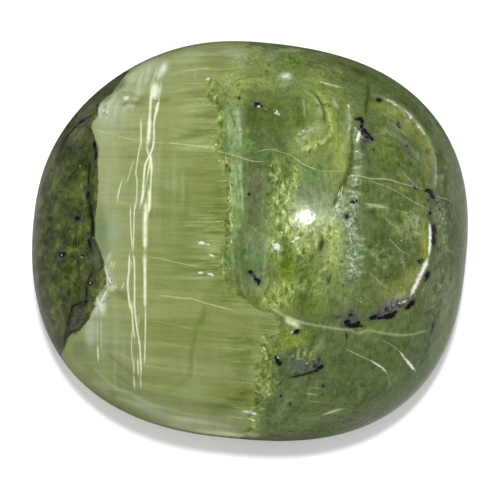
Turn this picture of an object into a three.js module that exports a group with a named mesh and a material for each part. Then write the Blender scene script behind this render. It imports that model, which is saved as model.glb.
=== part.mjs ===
// A cushion cut opal: one polished stone with a high dome, a soft girdle and a flat back.
// Millimetres, +Z up. The back lies on z = 0, and the origin is under the middle of the outline.

import * as THREE from 'three';

// Girdle outline seen from above: a rounded oblong, turned a little clockwise
const longHalf = 8.68;
const shortHalf = 7.94;
const outlineTurn = THREE.MathUtils.degToRad(-5.75);

// How square each corner is, anticlockwise from the one at +X +Y: 2 is a plain ellipse
const cornerPowers = [2.45, 2.11, 2.44, 2.54];

// Height of the girdle over the flat back, and of the dome over the girdle
const girdleHeight = 2.0;
const domeHeight = 5.8;

// Dome section: the crown power rounds the top, and the shoulder power makes the rim stand steeper.
// The shoulder is steepest on the -X side and gentlest on the +X side, by the lean.
const crownPower = 2.1;
const shoulderPower = 2.15;
const shoulderLean = 0.25;

// Back: a rounded bevel runs in from the girdle to a flat of this share of the outline
const flatShare = 0.76;
const bevelPower = 1.35;

// Facets around the stone, up the dome and down the bevel
const sides = 96;
const domeSteps = 18;
const bevelSteps = 6;

const opalColour = 0x66753a;
const polishRoughness = 0.12;

const quarterTurn = Math.PI / 2;
const fullTurn = 2 * Math.PI;

// The power of the outline in one direction: each corner's own, eased into the next corner's
function cornerPower(direction) {
  const place = (direction / quarterTurn - 0.5 + 4) % 4;
  const corner = Math.floor(place);
  const ease = THREE.MathUtils.smoothstep(place - corner, 0, 1);
  return THREE.MathUtils.lerp(cornerPowers[corner], cornerPowers[(corner + 1) % 4], ease);
}

// Radius of a superellipse in one direction. Rings with a small share, near the crown, are plain ellipses.
function outlineRadius(direction, share) {
  const power = THREE.MathUtils.lerp(2, cornerPower(direction), share);
  const turned = direction - outlineTurn;
  const along = Math.abs(Math.cos(turned) / longHalf) ** power;
  const across = Math.abs(Math.sin(turned) / shortHalf) ** power;
  return (along + across) ** (-1 / power);
}

// One point of a ring that has the given share of the outline
function ringPoint(direction, share, height) {
  const radius = share * outlineRadius(direction, share);
  return new THREE.Vector3(radius * Math.cos(direction), radius * Math.sin(direction), height);
}

// Dome: (1 - share ^ crown) ^ (1 / shoulder) of the dome's height, from the girdle to the crown
function domePoint(direction, rise) {
  const share = Math.cos(rise * quarterTurn);
  const shoulder = shoulderPower - shoulderLean * Math.cos(direction);
  const height = girdleHeight + domeHeight * (1 - share ** crownPower) ** (1 / shoulder);
  return ringPoint(direction, share, height);
}

// Bevel: a quarter of a superellipse from the edge of the flat out to the girdle
function bevelPoint(direction, rise) {
  const outward = Math.sin(rise * quarterTurn) ** (2 / bevelPower);
  const drop = Math.cos(rise * quarterTurn) ** (2 / bevelPower);
  return ringPoint(direction, flatShare + (1 - flatShare) * outward, girdleHeight * (1 - drop));
}

// All rings from the flat's edge up to the last one below the crown
function stoneRings() {
  const directions = Array.from({ length: sides }, (_, i) => (i / sides) * fullTurn);
  const rings = [];
  for (let step = 0; step < bevelSteps; step += 1) {
    rings.push(directions.map((direction) => bevelPoint(direction, step / bevelSteps)));
  }
  for (let step = 0; step < domeSteps; step += 1) {
    rings.push(directions.map((direction) => domePoint(direction, step / domeSteps)));
  }
  return rings;
}

// The rings are joined by pairs of triangles, and closed by a fan on the flat and one on the crown
function opalGeometry() {
  const rings = stoneRings();
  const flatMiddle = new THREE.Vector3(0, 0, 0);
  const crown = new THREE.Vector3(0, 0, girdleHeight + domeHeight);
  const points = [...rings.flat(), flatMiddle, crown];
  const flatMiddleIndex = rings.length * sides;
  const crownIndex = flatMiddleIndex + 1;
  const lastRing = (rings.length - 1) * sides;

  const faces = [];
  for (let i = 0; i < sides; i += 1) {
    const next = (i + 1) % sides;
    faces.push(flatMiddleIndex, next, i);
    faces.push(crownIndex, lastRing + i, lastRing + next);
    for (let ring = 0; ring < lastRing; ring += sides) {
      faces.push(ring + i, ring + next, ring + sides + next);
      faces.push(ring + i, ring + sides + next, ring + sides + i);
    }
  }

  const geometry = new THREE.BufferGeometry().setFromPoints(points);
  geometry.setIndex(faces);

  // The middle of the outline's box goes over the origin
  geometry.computeBoundingBox();
  const middle = geometry.boundingBox.getCenter(new THREE.Vector3());
  geometry.translate(-middle.x, -middle.y, 0);
  geometry.computeVertexNormals();
  return geometry;
}

const polishedOpal = new THREE.MeshStandardMaterial({
  color: opalColour,
  roughness: polishRoughness,
  metalness: 0,
});

const opal = new THREE.Mesh(opalGeometry(), polishedOpal);
opal.name = 'opal_cabochon';

const model = new THREE.Group();
model.add(opal);

export default model;
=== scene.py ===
# %% [markdown]
# # A cushion cut opal
# The object is one polished stone: a green moss opal, cut as a cushion with a high dome. This lesson
# dresses the plain solid of it. The form comes first, then the markings that lie in the stone, then the
# polish, and last the camera and the light. The solid is loaded as a fixed frame, and every size here
# is in millimetres on the stone, measured from the middle of its outline, +X right and +Y up.

import bpy
import numpy as np
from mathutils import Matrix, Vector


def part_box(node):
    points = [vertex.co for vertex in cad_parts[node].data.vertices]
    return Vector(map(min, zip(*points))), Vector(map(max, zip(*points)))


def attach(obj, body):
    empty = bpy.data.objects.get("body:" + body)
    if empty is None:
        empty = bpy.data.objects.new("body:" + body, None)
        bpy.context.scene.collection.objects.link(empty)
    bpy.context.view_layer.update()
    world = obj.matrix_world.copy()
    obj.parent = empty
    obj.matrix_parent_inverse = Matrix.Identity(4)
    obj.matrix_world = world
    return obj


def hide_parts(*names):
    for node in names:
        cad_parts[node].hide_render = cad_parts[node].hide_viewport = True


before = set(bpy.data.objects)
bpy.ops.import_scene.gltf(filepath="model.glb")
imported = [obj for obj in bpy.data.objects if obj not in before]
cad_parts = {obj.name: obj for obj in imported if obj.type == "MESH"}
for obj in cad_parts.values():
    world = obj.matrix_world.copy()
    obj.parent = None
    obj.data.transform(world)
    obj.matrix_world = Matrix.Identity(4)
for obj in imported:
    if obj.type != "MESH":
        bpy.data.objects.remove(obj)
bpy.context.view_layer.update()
low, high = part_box("opal_cabochon")
MM = 0.001
print("solid, mm:", [round((b - a) / MM, 2) for a, b in zip(low, high)])

# %% [markdown]
# ## The outline
# Seen from above, a cushion is a rounded oblong. It could be drawn point by point, but one formula is
# smoother: a superellipse, whose power says how square it is. The cutter left each corner a little
# different, so each has a power of its own that eases into the next one's.

# %% Outline of the girdle
long_half = 8.68
short_half = 7.94
outline_turn = np.radians(-5.75)
corner_powers = np.array([2.45, 2.11, 2.44, 2.54])


def ease(value, start=0.0, end=1.0):
    """Smooth step: 3t^2 - 2t^3 of the value's share of the way from start to end."""
    t = np.clip((value - start) / (end - start), 0, 1)
    return t * t * (3 - 2 * t)


def outline_radius(direction, share):
    """(|cos t / a|^n + |sin t / b|^n)^(-1/n), with n easing from corner to corner and to 2 at the crown."""
    place = (direction / (np.pi / 2) - 0.5) % 4
    corner = np.floor(place).astype(int)
    blend = ease(place - corner)
    corner_power = corner_powers[corner % 4] * (1 - blend) + corner_powers[(corner + 1) % 4] * blend
    power = 2 + (corner_power - 2) * share
    t = direction - outline_turn
    along = np.abs(np.cos(t) / long_half) ** power
    across = np.abs(np.sin(t) / short_half) ** power
    return (along + across) ** (-1 / power)


directions = np.linspace(0, 2 * np.pi, 1441)
radii = outline_radius(directions, 1.0)
rim_x, rim_y = radii * np.cos(directions), radii * np.sin(directions)
middle = np.array([rim_x.max() + rim_x.min(), rim_y.max() + rim_y.min()]) / 2
print("outline, mm:", round(float(np.ptp(rim_x)), 2), "by", round(float(np.ptp(rim_y)), 2))

# %% [markdown]
# ## The section
# The dome is close to half an ellipse that stands a little steeper on the left. Under the girdle a
# rounded bevel runs in to the flat back. The rings of the grid stand at equal steps of a walk down the
# dome in which height counts a third, so the face gets the fine mesh that its markings need.

# %% Section of the stone
girdle_height = 2.0
dome_height = high.z / MM - girdle_height
crown_power = 2.1
shoulder_power = 2.15
shoulder_lean = 0.25
flat_share = 0.76
bevel_power = 1.35
dome_rings = 140
height_counts = 0.35


def dome_rise(direction, share):
    """Height over the girdle: H (1 - s^c)^(1/p), where p leans with the direction."""
    shoulder = shoulder_power - shoulder_lean * np.cos(direction)
    return dome_height * (1 - share**crown_power) ** (1 / shoulder)


fine_share = np.sin(np.linspace(0, np.pi / 2, 4001))
fine_rise = dome_rise(np.pi / 2, fine_share)
walk = np.hypot(np.diff(fine_share * short_half), height_counts * np.diff(fine_rise))
walk = np.concatenate([[0], np.cumsum(walk)])
ring_share = np.interp(np.linspace(0, walk[-1], dome_rings + 1), walk, fine_share)
print("step on the face, mm:", round(float(ring_share[1] * long_half), 3))

# %% [markdown]
# ## The skin
# A grid of rays and rings would crowd its points at the crown. A square grid wrapped round the middle
# keeps them even: each point's ring is the larger of its row and column, and its direction turns an
# eighth of a circle for each half side. The bevel and the flat hang on the square's edge.

# %% Grid of the dome
steps = np.arange(-dome_rings, dome_rings + 1)
row, column = np.meshgrid(steps, steps, indexing="ij")
ring = np.maximum(np.abs(row), np.abs(column))
wide = np.abs(column) >= np.abs(row)
with np.errstate(divide="ignore", invalid="ignore"):
    turned = np.where(wide, row / column, 2 - column / row) * np.pi / 4
turned = np.where(np.where(wide, column, row) < 0, turned + np.pi, turned)
turned = np.nan_to_num(turned) % (2 * np.pi)


def skin_points(direction, share, height):
    """Points at a share of the outline, with the outline's middle over the origin."""
    radius = share * outline_radius(direction, share)
    x = radius * np.cos(direction) - middle[0]
    y = radius * np.sin(direction) - middle[1]
    return np.stack([x, y, height], axis=-1).reshape(-1, 3)


dome_share = ring_share[ring]
dome_points = skin_points(turned, dome_share, girdle_height + dome_rise(turned, dome_share))

side = 2 * dome_rings + 1
number = np.arange(side * side).reshape(side, side)
dome_faces = np.stack([number[:-1, :-1], number[:-1, 1:], number[1:, 1:], number[1:, :-1]], axis=-1).reshape(-1, 4)
edge = np.flatnonzero(ring.ravel() == dome_rings)
edge = edge[np.argsort(turned.ravel()[edge])]
around = len(edge)
print("dome:", len(dome_points), "points,", around, "of them on the girdle")

# %% Bevel and flat
bevel_rings = 7
flat_rings = 20
coarse = around // 4
fine_directions = turned.ravel()[edge]


def bevel_ring(step):
    """A quarter superellipse, from the girdle at step 0 in and down to the flat at step 1."""
    outward = np.cos(step * np.pi / 2) ** (2 / bevel_power)
    drop = np.sin(step * np.pi / 2) ** (2 / bevel_power)
    height = np.full(around, girdle_height * (1 - drop))
    return skin_points(fine_directions, flat_share + (1 - flat_share) * outward, height)


def band(upper, lower):
    """Quads between two rings of point numbers, with their faces outwards."""
    return np.stack([upper, lower, np.roll(lower, -1), np.roll(upper, -1)], axis=-1)


bevel_points = [bevel_ring(k / bevel_rings) for k in range(1, bevel_rings + 1)]
flat_points = [
    skin_points(fine_directions[::4], np.full(coarse, flat_share * (1 - k / flat_rings)), np.zeros(coarse))
    for k in range(1, flat_rings)
]
points = np.concatenate([dome_points, *bevel_points, *flat_points, [[-middle[0], -middle[1], 0]]])

bevel_start = len(dome_points)
flat_start = bevel_start + bevel_rings * around
fine_numbers = [edge] + [bevel_start + k * around + np.arange(around) for k in range(bevel_rings)]
coarse_numbers = [flat_start + k * coarse + np.arange(coarse) for k in range(flat_rings - 1)]
quads = [dome_faces]
quads += [band(a, b) for a, b in zip(fine_numbers, fine_numbers[1:])]
quads += [band(a, b) for a, b in zip(coarse_numbers, coarse_numbers[1:])]

# Each point of the coarse ring takes four steps of the fine ring, and then a step to its neighbour
fine_last, coarse_first = fine_numbers[-1], coarse_numbers[0]
triangles = [
    np.stack([fine_last[k::4], coarse_first, np.roll(fine_last, -1)[k::4]], axis=-1) for k in range(4)
]
triangles.append(np.stack([np.roll(fine_last, -4)[::4], coarse_first, np.roll(coarse_first, -1)], axis=-1))
centre_number = len(points) - 1
last_ring = coarse_numbers[-1]
triangles.append(np.stack([last_ring, np.full(coarse, centre_number), np.roll(last_ring, -1)], axis=-1))

faces = np.concatenate(quads).tolist() + np.concatenate(triangles).tolist()
mesh = bpy.data.meshes.new("opal")
mesh.from_pydata((points * MM).tolist(), [], faces)
mesh.validate()
mesh.polygons.foreach_set("use_smooth", np.ones(len(mesh.polygons), dtype=bool))
opal = bpy.data.objects.new("opal", mesh)
bpy.context.scene.collection.objects.link(opal)
print("triangles:", sum(len(face) - 2 for face in faces))

# %% [markdown]
# ## Where the markings lie
# The markings run through the stone, so a place on the skin looks up its marking straight down through
# it. Two things keep the sides and the back from being a plain copy of the face: the seams lean, so the
# pattern slides sideways with depth, and round the girdle it spreads, so that it doesn't run in streaks
# where the stone stands steep. Everything below is drawn in millimetres, as seen from half a
# metre above, so what stands higher is drawn a trace larger than it is.

# %% Places
camera_height = 500.0
view_middle = np.array([0.0, -0.36])
spread_from = 5.0
seam_lean = np.array([0.4, -0.25])
sunk = np.maximum(spread_from - points[:, 2], 0) / spread_from
below = np.maximum(girdle_height - points[:, 2], 0)
nearer = (camera_height - girdle_height) / (camera_height - np.maximum(points[:, 2], girdle_height))
x, y = (view_middle + (points[:, :2] - view_middle) * (nearer * (1 + 0.45 * sunk**3))[:, None]
        + seam_lean * below[:, None]).T
marks = {}

by_x = np.argsort(x)
sorted_x = x[by_x]


def places_near(left, bottom, right, top):
    """Numbers of the places inside a box."""
    first, last = np.searchsorted(sorted_x, (left, right))
    part = by_x[first:last]
    return part[(y[part] > bottom) & (y[part] < top)]


def smooth_path(drawn, cuts=4):
    """Catmull-Rom curve through the drawn points: each stretch is a cubic that heeds its neighbours.

    The points are written as x, y, x, y and so on.
    """
    p = np.reshape(drawn, (-1, 2))
    if len(p) < 3:
        return p
    ends = np.vstack([2 * p[0] - p[1], p, 2 * p[-1] - p[-2]])
    a, b, c, d = ends[:-3, None], ends[1:-2, None], ends[2:-1, None], ends[3:, None]
    t = np.linspace(0, 1, cuts, endpoint=False)[None, :, None]
    curve = 0.5 * (2 * b + (c - a) * t + (2 * a - 5 * b + 4 * c - d) * t**2 + (3 * b - a - 3 * c + d) * t**3)
    return np.vstack([curve.reshape(-1, 2), p[-1:]])


def nearest(px, py, path):
    """Offset to the nearest stretch of a path, positive on its left, and the way along to that place."""
    a, d = path[:-1], np.diff(path, axis=0)
    length = np.hypot(d[:, 0], d[:, 1])
    start = np.concatenate([[0], np.cumsum(length)[:-1]])
    ax, ay = px[:, None] - a[:, 0], py[:, None] - a[:, 1]
    t = np.clip((ax * d[:, 0] + ay * d[:, 1]) / length**2, 0, 1)
    ex, ey = ax - t * d[:, 0], ay - t * d[:, 1]
    far = np.hypot(ex, ey)
    pick = np.arange(len(px)), far.argmin(axis=1)
    left = np.where((d[:, 0] * ey - d[:, 1] * ex)[pick] < 0, -1.0, 1.0)
    return left * far[pick], (start + t * length)[pick]


def along_path(drawn, reach):
    """Places near a path, their offset from it, and how far the line's end taper lets it show there."""
    path = smooth_path(drawn)
    low, high = path.min(axis=0) - reach, path.max(axis=0) + reach
    inside = places_near(low[0], low[1], high[0], high[1])
    if not len(inside):
        return inside, np.zeros(0), np.zeros(0)
    away, run = nearest(x[inside], y[inside], path)
    total = np.hypot(*np.diff(path, axis=0).T).sum()
    taper = min(0.35, total / 3)
    return inside, away, ease(run, 0, taper) * ease(total - run, 0, taper)


def line_marks(name, lines):
    """Two marks for a family of lines: the offset from the nearest one in half widths, and its strength.

    Both thin out over the ends of each line, and the strength is gone a little way off its sides. Where
    two lines run side by side, the later one counts its sides the other way round if it must, so that
    the offset doesn't pass through 0 between them.
    """
    offset, strength = np.full(len(x), 40.0), np.zeros(len(x))
    for half_width, own_strength, drawn in lines:
        reach = max(0.14, 3 * half_width)
        inside, away, fade = along_path(drawn, 2 * reach)
        level = own_strength * (0.15 + 0.85 * fade) * (1 - ease(np.abs(away), reach, 2 * reach))
        level = np.where(fade <= 0, level * np.exp(-((away / half_width) ** 2)), level)
        steps_off = away / (half_width * (0.45 + 0.55 * fade))
        so_far = offset[inside]
        between = (np.abs(np.abs(steps_off) - np.abs(so_far)) < 1.2) & (np.abs(so_far) < 12)
        if np.sum((steps_off * so_far)[between]) < 0:
            steps_off = -steps_off
        closer = np.abs(steps_off) < np.abs(so_far)
        offset[inside[closer]] = steps_off[closer]
        strength[inside[closer]] = level[closer]
    marks[name + "_offset"], marks[name] = offset, strength


def depth_in(drawn):
    """How far inside a closed outline each place lies, in mm, and negative outside it."""
    corners = np.reshape(drawn, (-1, 2))
    path = np.vstack([corners, corners[:1]])
    far = np.abs(nearest(x, y, path)[0])
    a, b = path[:-1], path[1:]
    crosses = (a[:, 1] > y[:, None]) != (b[:, 1] > y[:, None])
    with np.errstate(divide="ignore", invalid="ignore"):
        at = a[:, 0] + (y[:, None] - a[:, 1]) * (b[:, 0] - a[:, 0]) / (b[:, 1] - a[:, 1])
    odd = (crosses & (x[:, None] < at)).sum(axis=1) % 2 == 1
    return np.where(odd, far, -far)


def roundness(px, py, sx, sy, rx, ry, turn=0):
    """Distance from the middle of an oval, where 1 is its edge: middle, half axes, degrees anticlockwise."""
    c, s = np.cos(np.radians(turn)), np.sin(np.radians(turn))
    u, v = (px - sx) * c + (py - sy) * s, (py - sy) * c - (px - sx) * s
    return np.hypot(u / rx, v / ry)


def spot_marks(name, spots):
    """One mark for a family of spots: 1 in the middle of a spot, 0 on its edge and less outside."""
    level = np.full(len(x), -1.0)
    for sx, sy, rx, ry, strength, *turn in spots:
        level = np.maximum(level, strength * (1 - roundness(x, y, sx, sy, rx, ry, *turn)))
    marks[name] = np.maximum(level, -1.0)


def soft_ovals(spots):
    """Places near each oval, and how strongly it covers them: its strength times exp(-rho^4).

    An oval is its middle, its half axes, its strength and, if it leans, its turn in degrees.
    """
    for sx, sy, rx, ry, strength, *turn in spots:
        reach = 1.5 * max(rx, ry)
        inside = places_near(sx - reach, sy - reach, sx + reach, sy + reach)
        yield inside, strength * np.exp(-roundness(x[inside], y[inside], sx, sy, rx, ry, *turn) ** 4)


def soft_lines(lines):
    """The same for lines: strength times exp(-(offset / half width)^2), gone at the ends."""
    for half_width, strength, drawn in lines:
        inside, away, fade = along_path(drawn, 2.5 * half_width)
        yield inside, strength * fade * np.exp(-((away / half_width) ** 2))


def growth_marks(name, ovals, lines=()):
    """How thickly moss or crystal has grown: 0 is nowhere and 1 is everywhere."""
    level = np.zeros(len(x))
    for areas in (soft_ovals(ovals), soft_lines(lines)):
        for inside, amount in areas:
            level[inside] += amount * (1 - level[inside])
    marks[name] = level


# %% [markdown]
# ## Body colours
# Under its sharp lines the stone's colour drifts. Noise alone would put the tones anywhere, so they are
# painted, as one would paint the stone on paper: a ground, soft dabs, strokes, and scattered flecks that
# follow the grain of each part. The tones are what the eye sees, and the light on the stone brightens
# them, so the paint itself is that much darker. A few dabs paint light as well: a grey sheen along the
# rims, a pale line on the bottom rim and a haze round the crown's highlight.

# %% Paint
light_on_stone = 1.5


def hue(red, green, blue):
    """A tone from 0 to 255 as linear light, darker by what the studio light adds."""
    c = np.array([red, green, blue]) / 255
    return np.where(c <= 0.04045, c / 12.92, ((c + 0.055) / 1.055) ** 2.4) / light_on_stone


class Coat:
    """A colour at every place of the skin, painted over bit by bit."""

    def __init__(self, *ground):
        self.colour = np.tile(hue(*ground), (len(x), 1))

    def cover(self, inside, amount, tone):
        self.colour[inside] += amount[:, None] * (hue(*tone) - self.colour[inside])

    def ground(self, amount, *tone):
        self.cover(np.arange(len(x)), amount, tone)

    def dabs(self, tone, spots):
        for inside, amount in soft_ovals(spots):
            self.cover(inside, amount, tone)

    def strokes(self, tone, lines):
        for inside, amount in soft_lines(lines):
            self.cover(inside, amount, tone)

    def glaze(self, factors, spots):
        """Thin colour over soft ovals: red, green and blue are multiplied by the factors."""
        for inside, amount in soft_ovals(spots):
            self.colour[inside] *= 1 + amount[:, None] * (np.array(factors) - 1)

    def flecks(self, count, length, width, turn, tones, spots, seed, strength=(0.3, 0.9)):
        """Small strokes at random places in oval spots, turned by an angle give or take a spread."""
        draw = np.random.default_rng(seed)
        areas = np.array([spot[2] * spot[3] for spot in spots])
        for which in draw.choice(len(spots), count, p=areas / areas.sum()):
            sx, sy, rx, ry, lean = spots[which]
            angle, far = draw.uniform(0, 2 * np.pi), draw.uniform() ** 0.5
            u, v = rx * far * np.cos(angle), ry * far * np.sin(angle)
            c, s = np.cos(np.radians(lean)), np.sin(np.radians(lean))
            fleck = (sx + u * c - v * s, sy + u * s + v * c, draw.uniform(*length), draw.uniform(*width),
                     draw.normal(*turn))
            power, tone = draw.uniform(*strength), tones[draw.integers(len(tones))]
            reach = 1.8 * max(fleck[2:4])
            inside = places_near(fleck[0] - reach, fleck[1] - reach, fleck[0] + reach, fleck[1] + reach)
            self.cover(inside, power * np.exp(-roundness(x[inside], y[inside], *fleck) ** 2), tone)


def across_at(path):
    """Distance to the right of a border that crosses each height once."""
    path = np.reshape(path, (-1, 2))[::-1]
    return x - np.interp(y, path[:, 1], path[:, 0])


# %% The dark mossy side
moss = Coat(70, 80, 46)
moss.dabs((82, 90, 55), [(-8.1, 0.4, 0.4, 2.8, 0.7), (-7.6, 1.5, 0.5, 0.5, 0.5), (-7.8, -2, 0.6, 1.2, 0.5),
    (-6.9, 2.4, 0.4, 0.3, 0.4)])
moss.dabs((62, 73, 41), [(-6.6, 1.2, 0.6, 1.2, 0.6), (-7.3, -0.2, 0.6, 0.8, 0.7),
    (-7.1, -1.2, 0.5, 0.9, 0.7), (-7.1, 3.3, 0.6, 0.4, 0.8), (-7.5, -0.5, 0.4, 0.4, 0.7),
    (-6.6, 3.6, 0.3, 0.4, 0.6), (-6.56, 0.04, 0.24, 0.64, 0.6)])
moss.dabs((95, 95, 70), [(-7, 4.4, 0.6, 0.3, 0.8, 28), (-6.3, 4.8, 0.4, 0.3, 0.6, 20),
    (-7.5, 3, 0.3, 0.7, 0.4), (-6.6, 5.3, 0.6, 0.3, 0.8, 38)])
moss.dabs((76, 60, 58), [(-7.12, 4.52, 0.48, 0.12, 0.35, 32)])
# Painted sheen: a pale grey band along the left rim stands in for the polish's reflection on the steep side; the glazes
# below tone it down.
moss.dabs((112, 112, 86), [(-8.68, 0.04, 0.24, 2.8, 0.7), (-8.4, -2.4, 0.3, 1.4, 0.7, 18),
    (-8.24, 2.6, 0.2, 1.6, 0.6, -18), (-7.8, -3.2, 0.3, 0.8, 0.5, 32)])
moss.dabs((104, 112, 60), [(-5.92, -1.36, 0.24, 0.48, 0.9), (-6.1, -2, 0.3, 0.3, 0.9),
    (-6.4, -2.6, 0.3, 0.3, 0.7, -30), (-6.12, 2.04, 0.12, 1.2, 0.5)])
moss.dabs((66, 67, 49), [(-6.9, -3, 0.3, 0.6, 0.9, -22), (-6.6, -2.36, 0.2, 0.24, 0.6),
    (-7.1, -3.6, 0.3, 0.3, 0.8)])
moss.dabs((84, 88, 66), [(-6.2, -0.7, 0.3, 0.4, 0.7), (-6.32, -1.32, 0.24, 0.32, 0.6),
    (-6.4, -1.72, 0.2, 0.2, 0.5)])
moss.glaze((0.84, 0.87, 0.64), [(-8.3, -0.2, 0.4, 2.2, 0.9)])
moss.glaze((0.82, 0.84, 0.76), [(-7.52, 0.04, 0.2, 1.2, 0.8), (-7.8, -3.1, 0.3, 0.8, 0.8, 32)])
moss.glaze((0.94, 0.98, 0.72), [(-7.2, 1.4, 1, 2, 0.9)])
moss.glaze((0.84, 0.84, 0.74), [(-7, -1.8, 1, 2, 0.9)])
moss.glaze((0.8, 0.83, 0.76), [(-8.4, -0.6, 0.3, 1.6, 0.9), (-8.2, -3.1, 0.3, 1.2, 0.9, 28),
    (-7.5, 3.6, 0.4, 0.7, 0.6, -20)])
moss.glaze((1.3, 1.24, 1.36), [(-7, 3.9, 0.5, 0.4, 0.8)])
moss.glaze((0.84, 0.84, 0.8), [(-7, -3.6, 0.6, 0.5, 0.9)])
moss.glaze((0.92, 0.94, 0.86), [(-7.1, 2.4, 0.6, 0.6, 0.9)])
moss.flecks(260, (0.08, 0.2), (0.05, 0.11), (90, 40), [(98, 112, 50), (88, 102, 46), (104, 112, 56)],
    [(-7.1, 0.6, 0.8, 2.4, 0), (-7.2, 2.6, 0.6, 0.9, 0), (-7.6, -1.6, 0.6, 1.6, 0),
        (-8, 0.4, 0.5, 2.4, 0)], 51, (0.4, 0.95))
moss.flecks(240, (0.08, 0.2), (0.05, 0.12), (90, 40), [(48, 60, 28), (52, 58, 34)],
    [(-7.2, 0.6, 1, 3.2, 0), (-7.1, 3.2, 0.6, 0.8, 0), (-8.2, 0, 0.3, 2.8, 0)], 52, (0.4, 0.9))
moss.glaze((0.68, 0.7, 0.66), [(-7.4, -1, 0.3, 0.4, 0.9), (-8.2, -2.56, 0.24, 0.64, 0.9, 18),
    (-6.84, 2.48, 0.24, 0.24, 0.8)])
moss.dabs((40, 44, 38), [(-6.88, 0.88, 0.12, 0.14, 0.7), (-7.52, -0.52, 0.14, 0.12, 0.7),
    (-6.96, 3.56, 0.16, 0.16, 0.5)])
moss.strokes((40, 42, 30), [(0.05, 0.5, [-8.28, 1.08, -8.2, 0.76, -8.28, 0.44]), (0.08, 0.5, [-7.44, 1.64,
    -7.6, 1.16])])

# %% The fibrous panel
seam_path = [-0.08, 7.96, -0.08, 7.4, -0.32, 7.08, -0.72, 6.76, -1.2, 6.52, -1.68, 6.28, -1.76, 5.96,
    -1.6, 5.64, -1.32, 5.4, -1.2, 5, -1.16, 4.52, -1.24, 4.04, -1.36, 3.64, -1.12, 3.32, -0.96, 2.92,
    -0.88, 2.44, -0.84, 1.96, -0.84, 1.4, -0.92, 0.84, -1, 0.28, -1.12, -0.36, -1.24, -0.84, -1.12, -1.24,
    -0.88, -1.72, -0.4, -2.2, 0.24, -2.68, 0.8, -2.92, 1.2, -3.24, 1.24, -3.64, 0.72, -3.8, 0.24, -4,
    0.32, -4.44, 0.24, -4.92, 0.28, -5.48, 0.24, -6.04, 0.08, -6.68, -0.16, -7.08, -0.24, -7.56,
    -0.4, -8.36]
panel_depth = -across_at(seam_path)
panel = Coat(138, 150, 92)
panel.dabs((158, 168, 118), [(-5.6, 3.6, 1, 2.8, 0.95), (-5, 3.2, 0.6, 2.4, 0.4),
    (-5.4, -1.2, 0.9, 2.4, 0.75), (-4.4, 6.8, 1.2, 0.8, 0.7, 22)])
panel.dabs((170, 180, 140), [(-5.5, 4.9, 0.6, 0.6, 0.9), (-5.2, 5.6, 0.8, 0.6, 0.7, 30),
    (-3.6, 7, 0.9, 0.5, 0.8), (-5.8, 4.4, 0.3, 0.6, 0.6), (-4.5, 6.2, 0.5, 0.4, 0.5, 30)])
panel.dabs((161, 171, 120), [(-4.4, 4, 0.4, 2.4, 0.7), (-4.4, 1.6, 0.3, 1, 0.6), (-5.6, 1.3, 0.5, 1, 0.6)])
panel.dabs((150, 160, 108), [(-3.3, 6, 1, 0.9, 0.8), (-2.8, 7.2, 0.8, 0.4, 0.6), (-3.9, 4.9, 0.6, 1, 0.5),
    (-2.6, 4.9, 0.7, 0.8, 0.7), (-2.2, 4.4, 0.6, 0.8, 0.6), (-4, -2.4, 1, 0.5, 0.7),
    (-2.6, -1.9, 1, 0.4, 0.5), (-2.9, -2.7, 1.2, 0.3, 0.5)])
panel.dabs((151, 161, 114), [(-5, -3.2, 1, 1.8, 0.8), (-5.8, -3.6, 0.7, 1, 0.7), (-4.9, 0.6, 0.4, 2, 0.6)])
panel.dabs((133, 148, 87), [(-3.1, 0.8, 1, 2.2, 0.8), (-1.8, 2, 0.7, 1.2, 0.35)])
panel.dabs((125, 140, 80), [(-2.6, -0.4, 0.5, 1.6, 0.7), (-1.8, -0.8, 0.6, 1, 0.35),
    (-1.4, 1.4, 0.4, 1.1, 0.6)])
panel.dabs((133, 146, 80), [(-1.4, 5.4, 0.5, 1.6, 0.7), (-1.6, 3.2, 0.5, 0.6, 0.6),
    (-1.4, 6.9, 0.6, 0.6, 0.8), (-2, 6.6, 0.8, 0.24, 0.4)])
panel.dabs((134, 144, 78), [(-2, -3.2, 1.3, 0.6, 0.7), (-2.8, -3.5, 0.8, 0.6, 0.4),
    (-0.7, -2.6, 0.6, 0.5, 0.4)])
panel.dabs((145, 156, 110), [(-2.16, 7.64, 0.64, 0.2, 0.8), (-0.72, 7.64, 0.64, 0.24, 0.7),
    (-2.8, -5.4, 1.2, 0.8, 0.45), (-1.4, -5.2, 0.6, 0.6, 0.6)])
panel.dabs((136, 147, 91), [(-2.6, -4.4, 1.6, 0.9, 0.5), (-1.4, -4.4, 0.5, 0.6, 0.5)])
panel.dabs((119, 132, 76), [(-0.4, -3.6, 0.6, 0.8, 0.75), (-0.5, -4.4, 0.6, 0.6, 0.6),
    (-0.4, -5.1, 0.4, 0.5, 0.6)])
panel.dabs((112, 126, 76), [(-2.88, -6.12, 1.2, 0.16, 0.5, -12)])
panel.dabs((144, 153, 112), [(-3.2, -6.9, 2.4, 0.3, 0.85, -13), (-1.44, -7.24, 1.2, 0.24, 0.7, -7),
    (-4.8, -6.4, 0.6, 0.3, 0.6, -30), (-4, -7.48, 1.2, 0.2, 0.6, -20)])
panel.dabs((136, 144, 104), [(-5.5, -5.4, 0.6, 0.8, 0.6, -38), (-4.9, -6, 0.8, 0.3, 0.5, -36),
    (-4.4, -4.8, 1.2, 0.6, 0.4)])
panel.dabs((128, 144, 102), [(-5.8, 0, 0.3, 0.6, 0.8), (-5.84, -0.6, 0.24, 0.48, 0.6),
    (-6.5, -4.1, 0.4, 0.5, 0.8), (-6.8, -4.4, 0.3, 0.4, 0.8), (-6, -4.4, 0.6, 0.6, 0.4)])
panel.dabs((148, 156, 126), [(-6.2, -3, 0.3, 0.7, 0.8), (-5.92, -2.36, 0.24, 0.48, 0.7)])
panel.dabs((126, 138, 74), [(-4, 5.6, 0.96, 0.16, 0.6, -2), (-4.8, 5.76, 0.8, 0.16, 0.5),
    (-2.6, 5.8, 1.2, 0.16, 0.4, 3), (-1.68, -2.36, 0.24, 0.72, 0.5, -12)])

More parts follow.
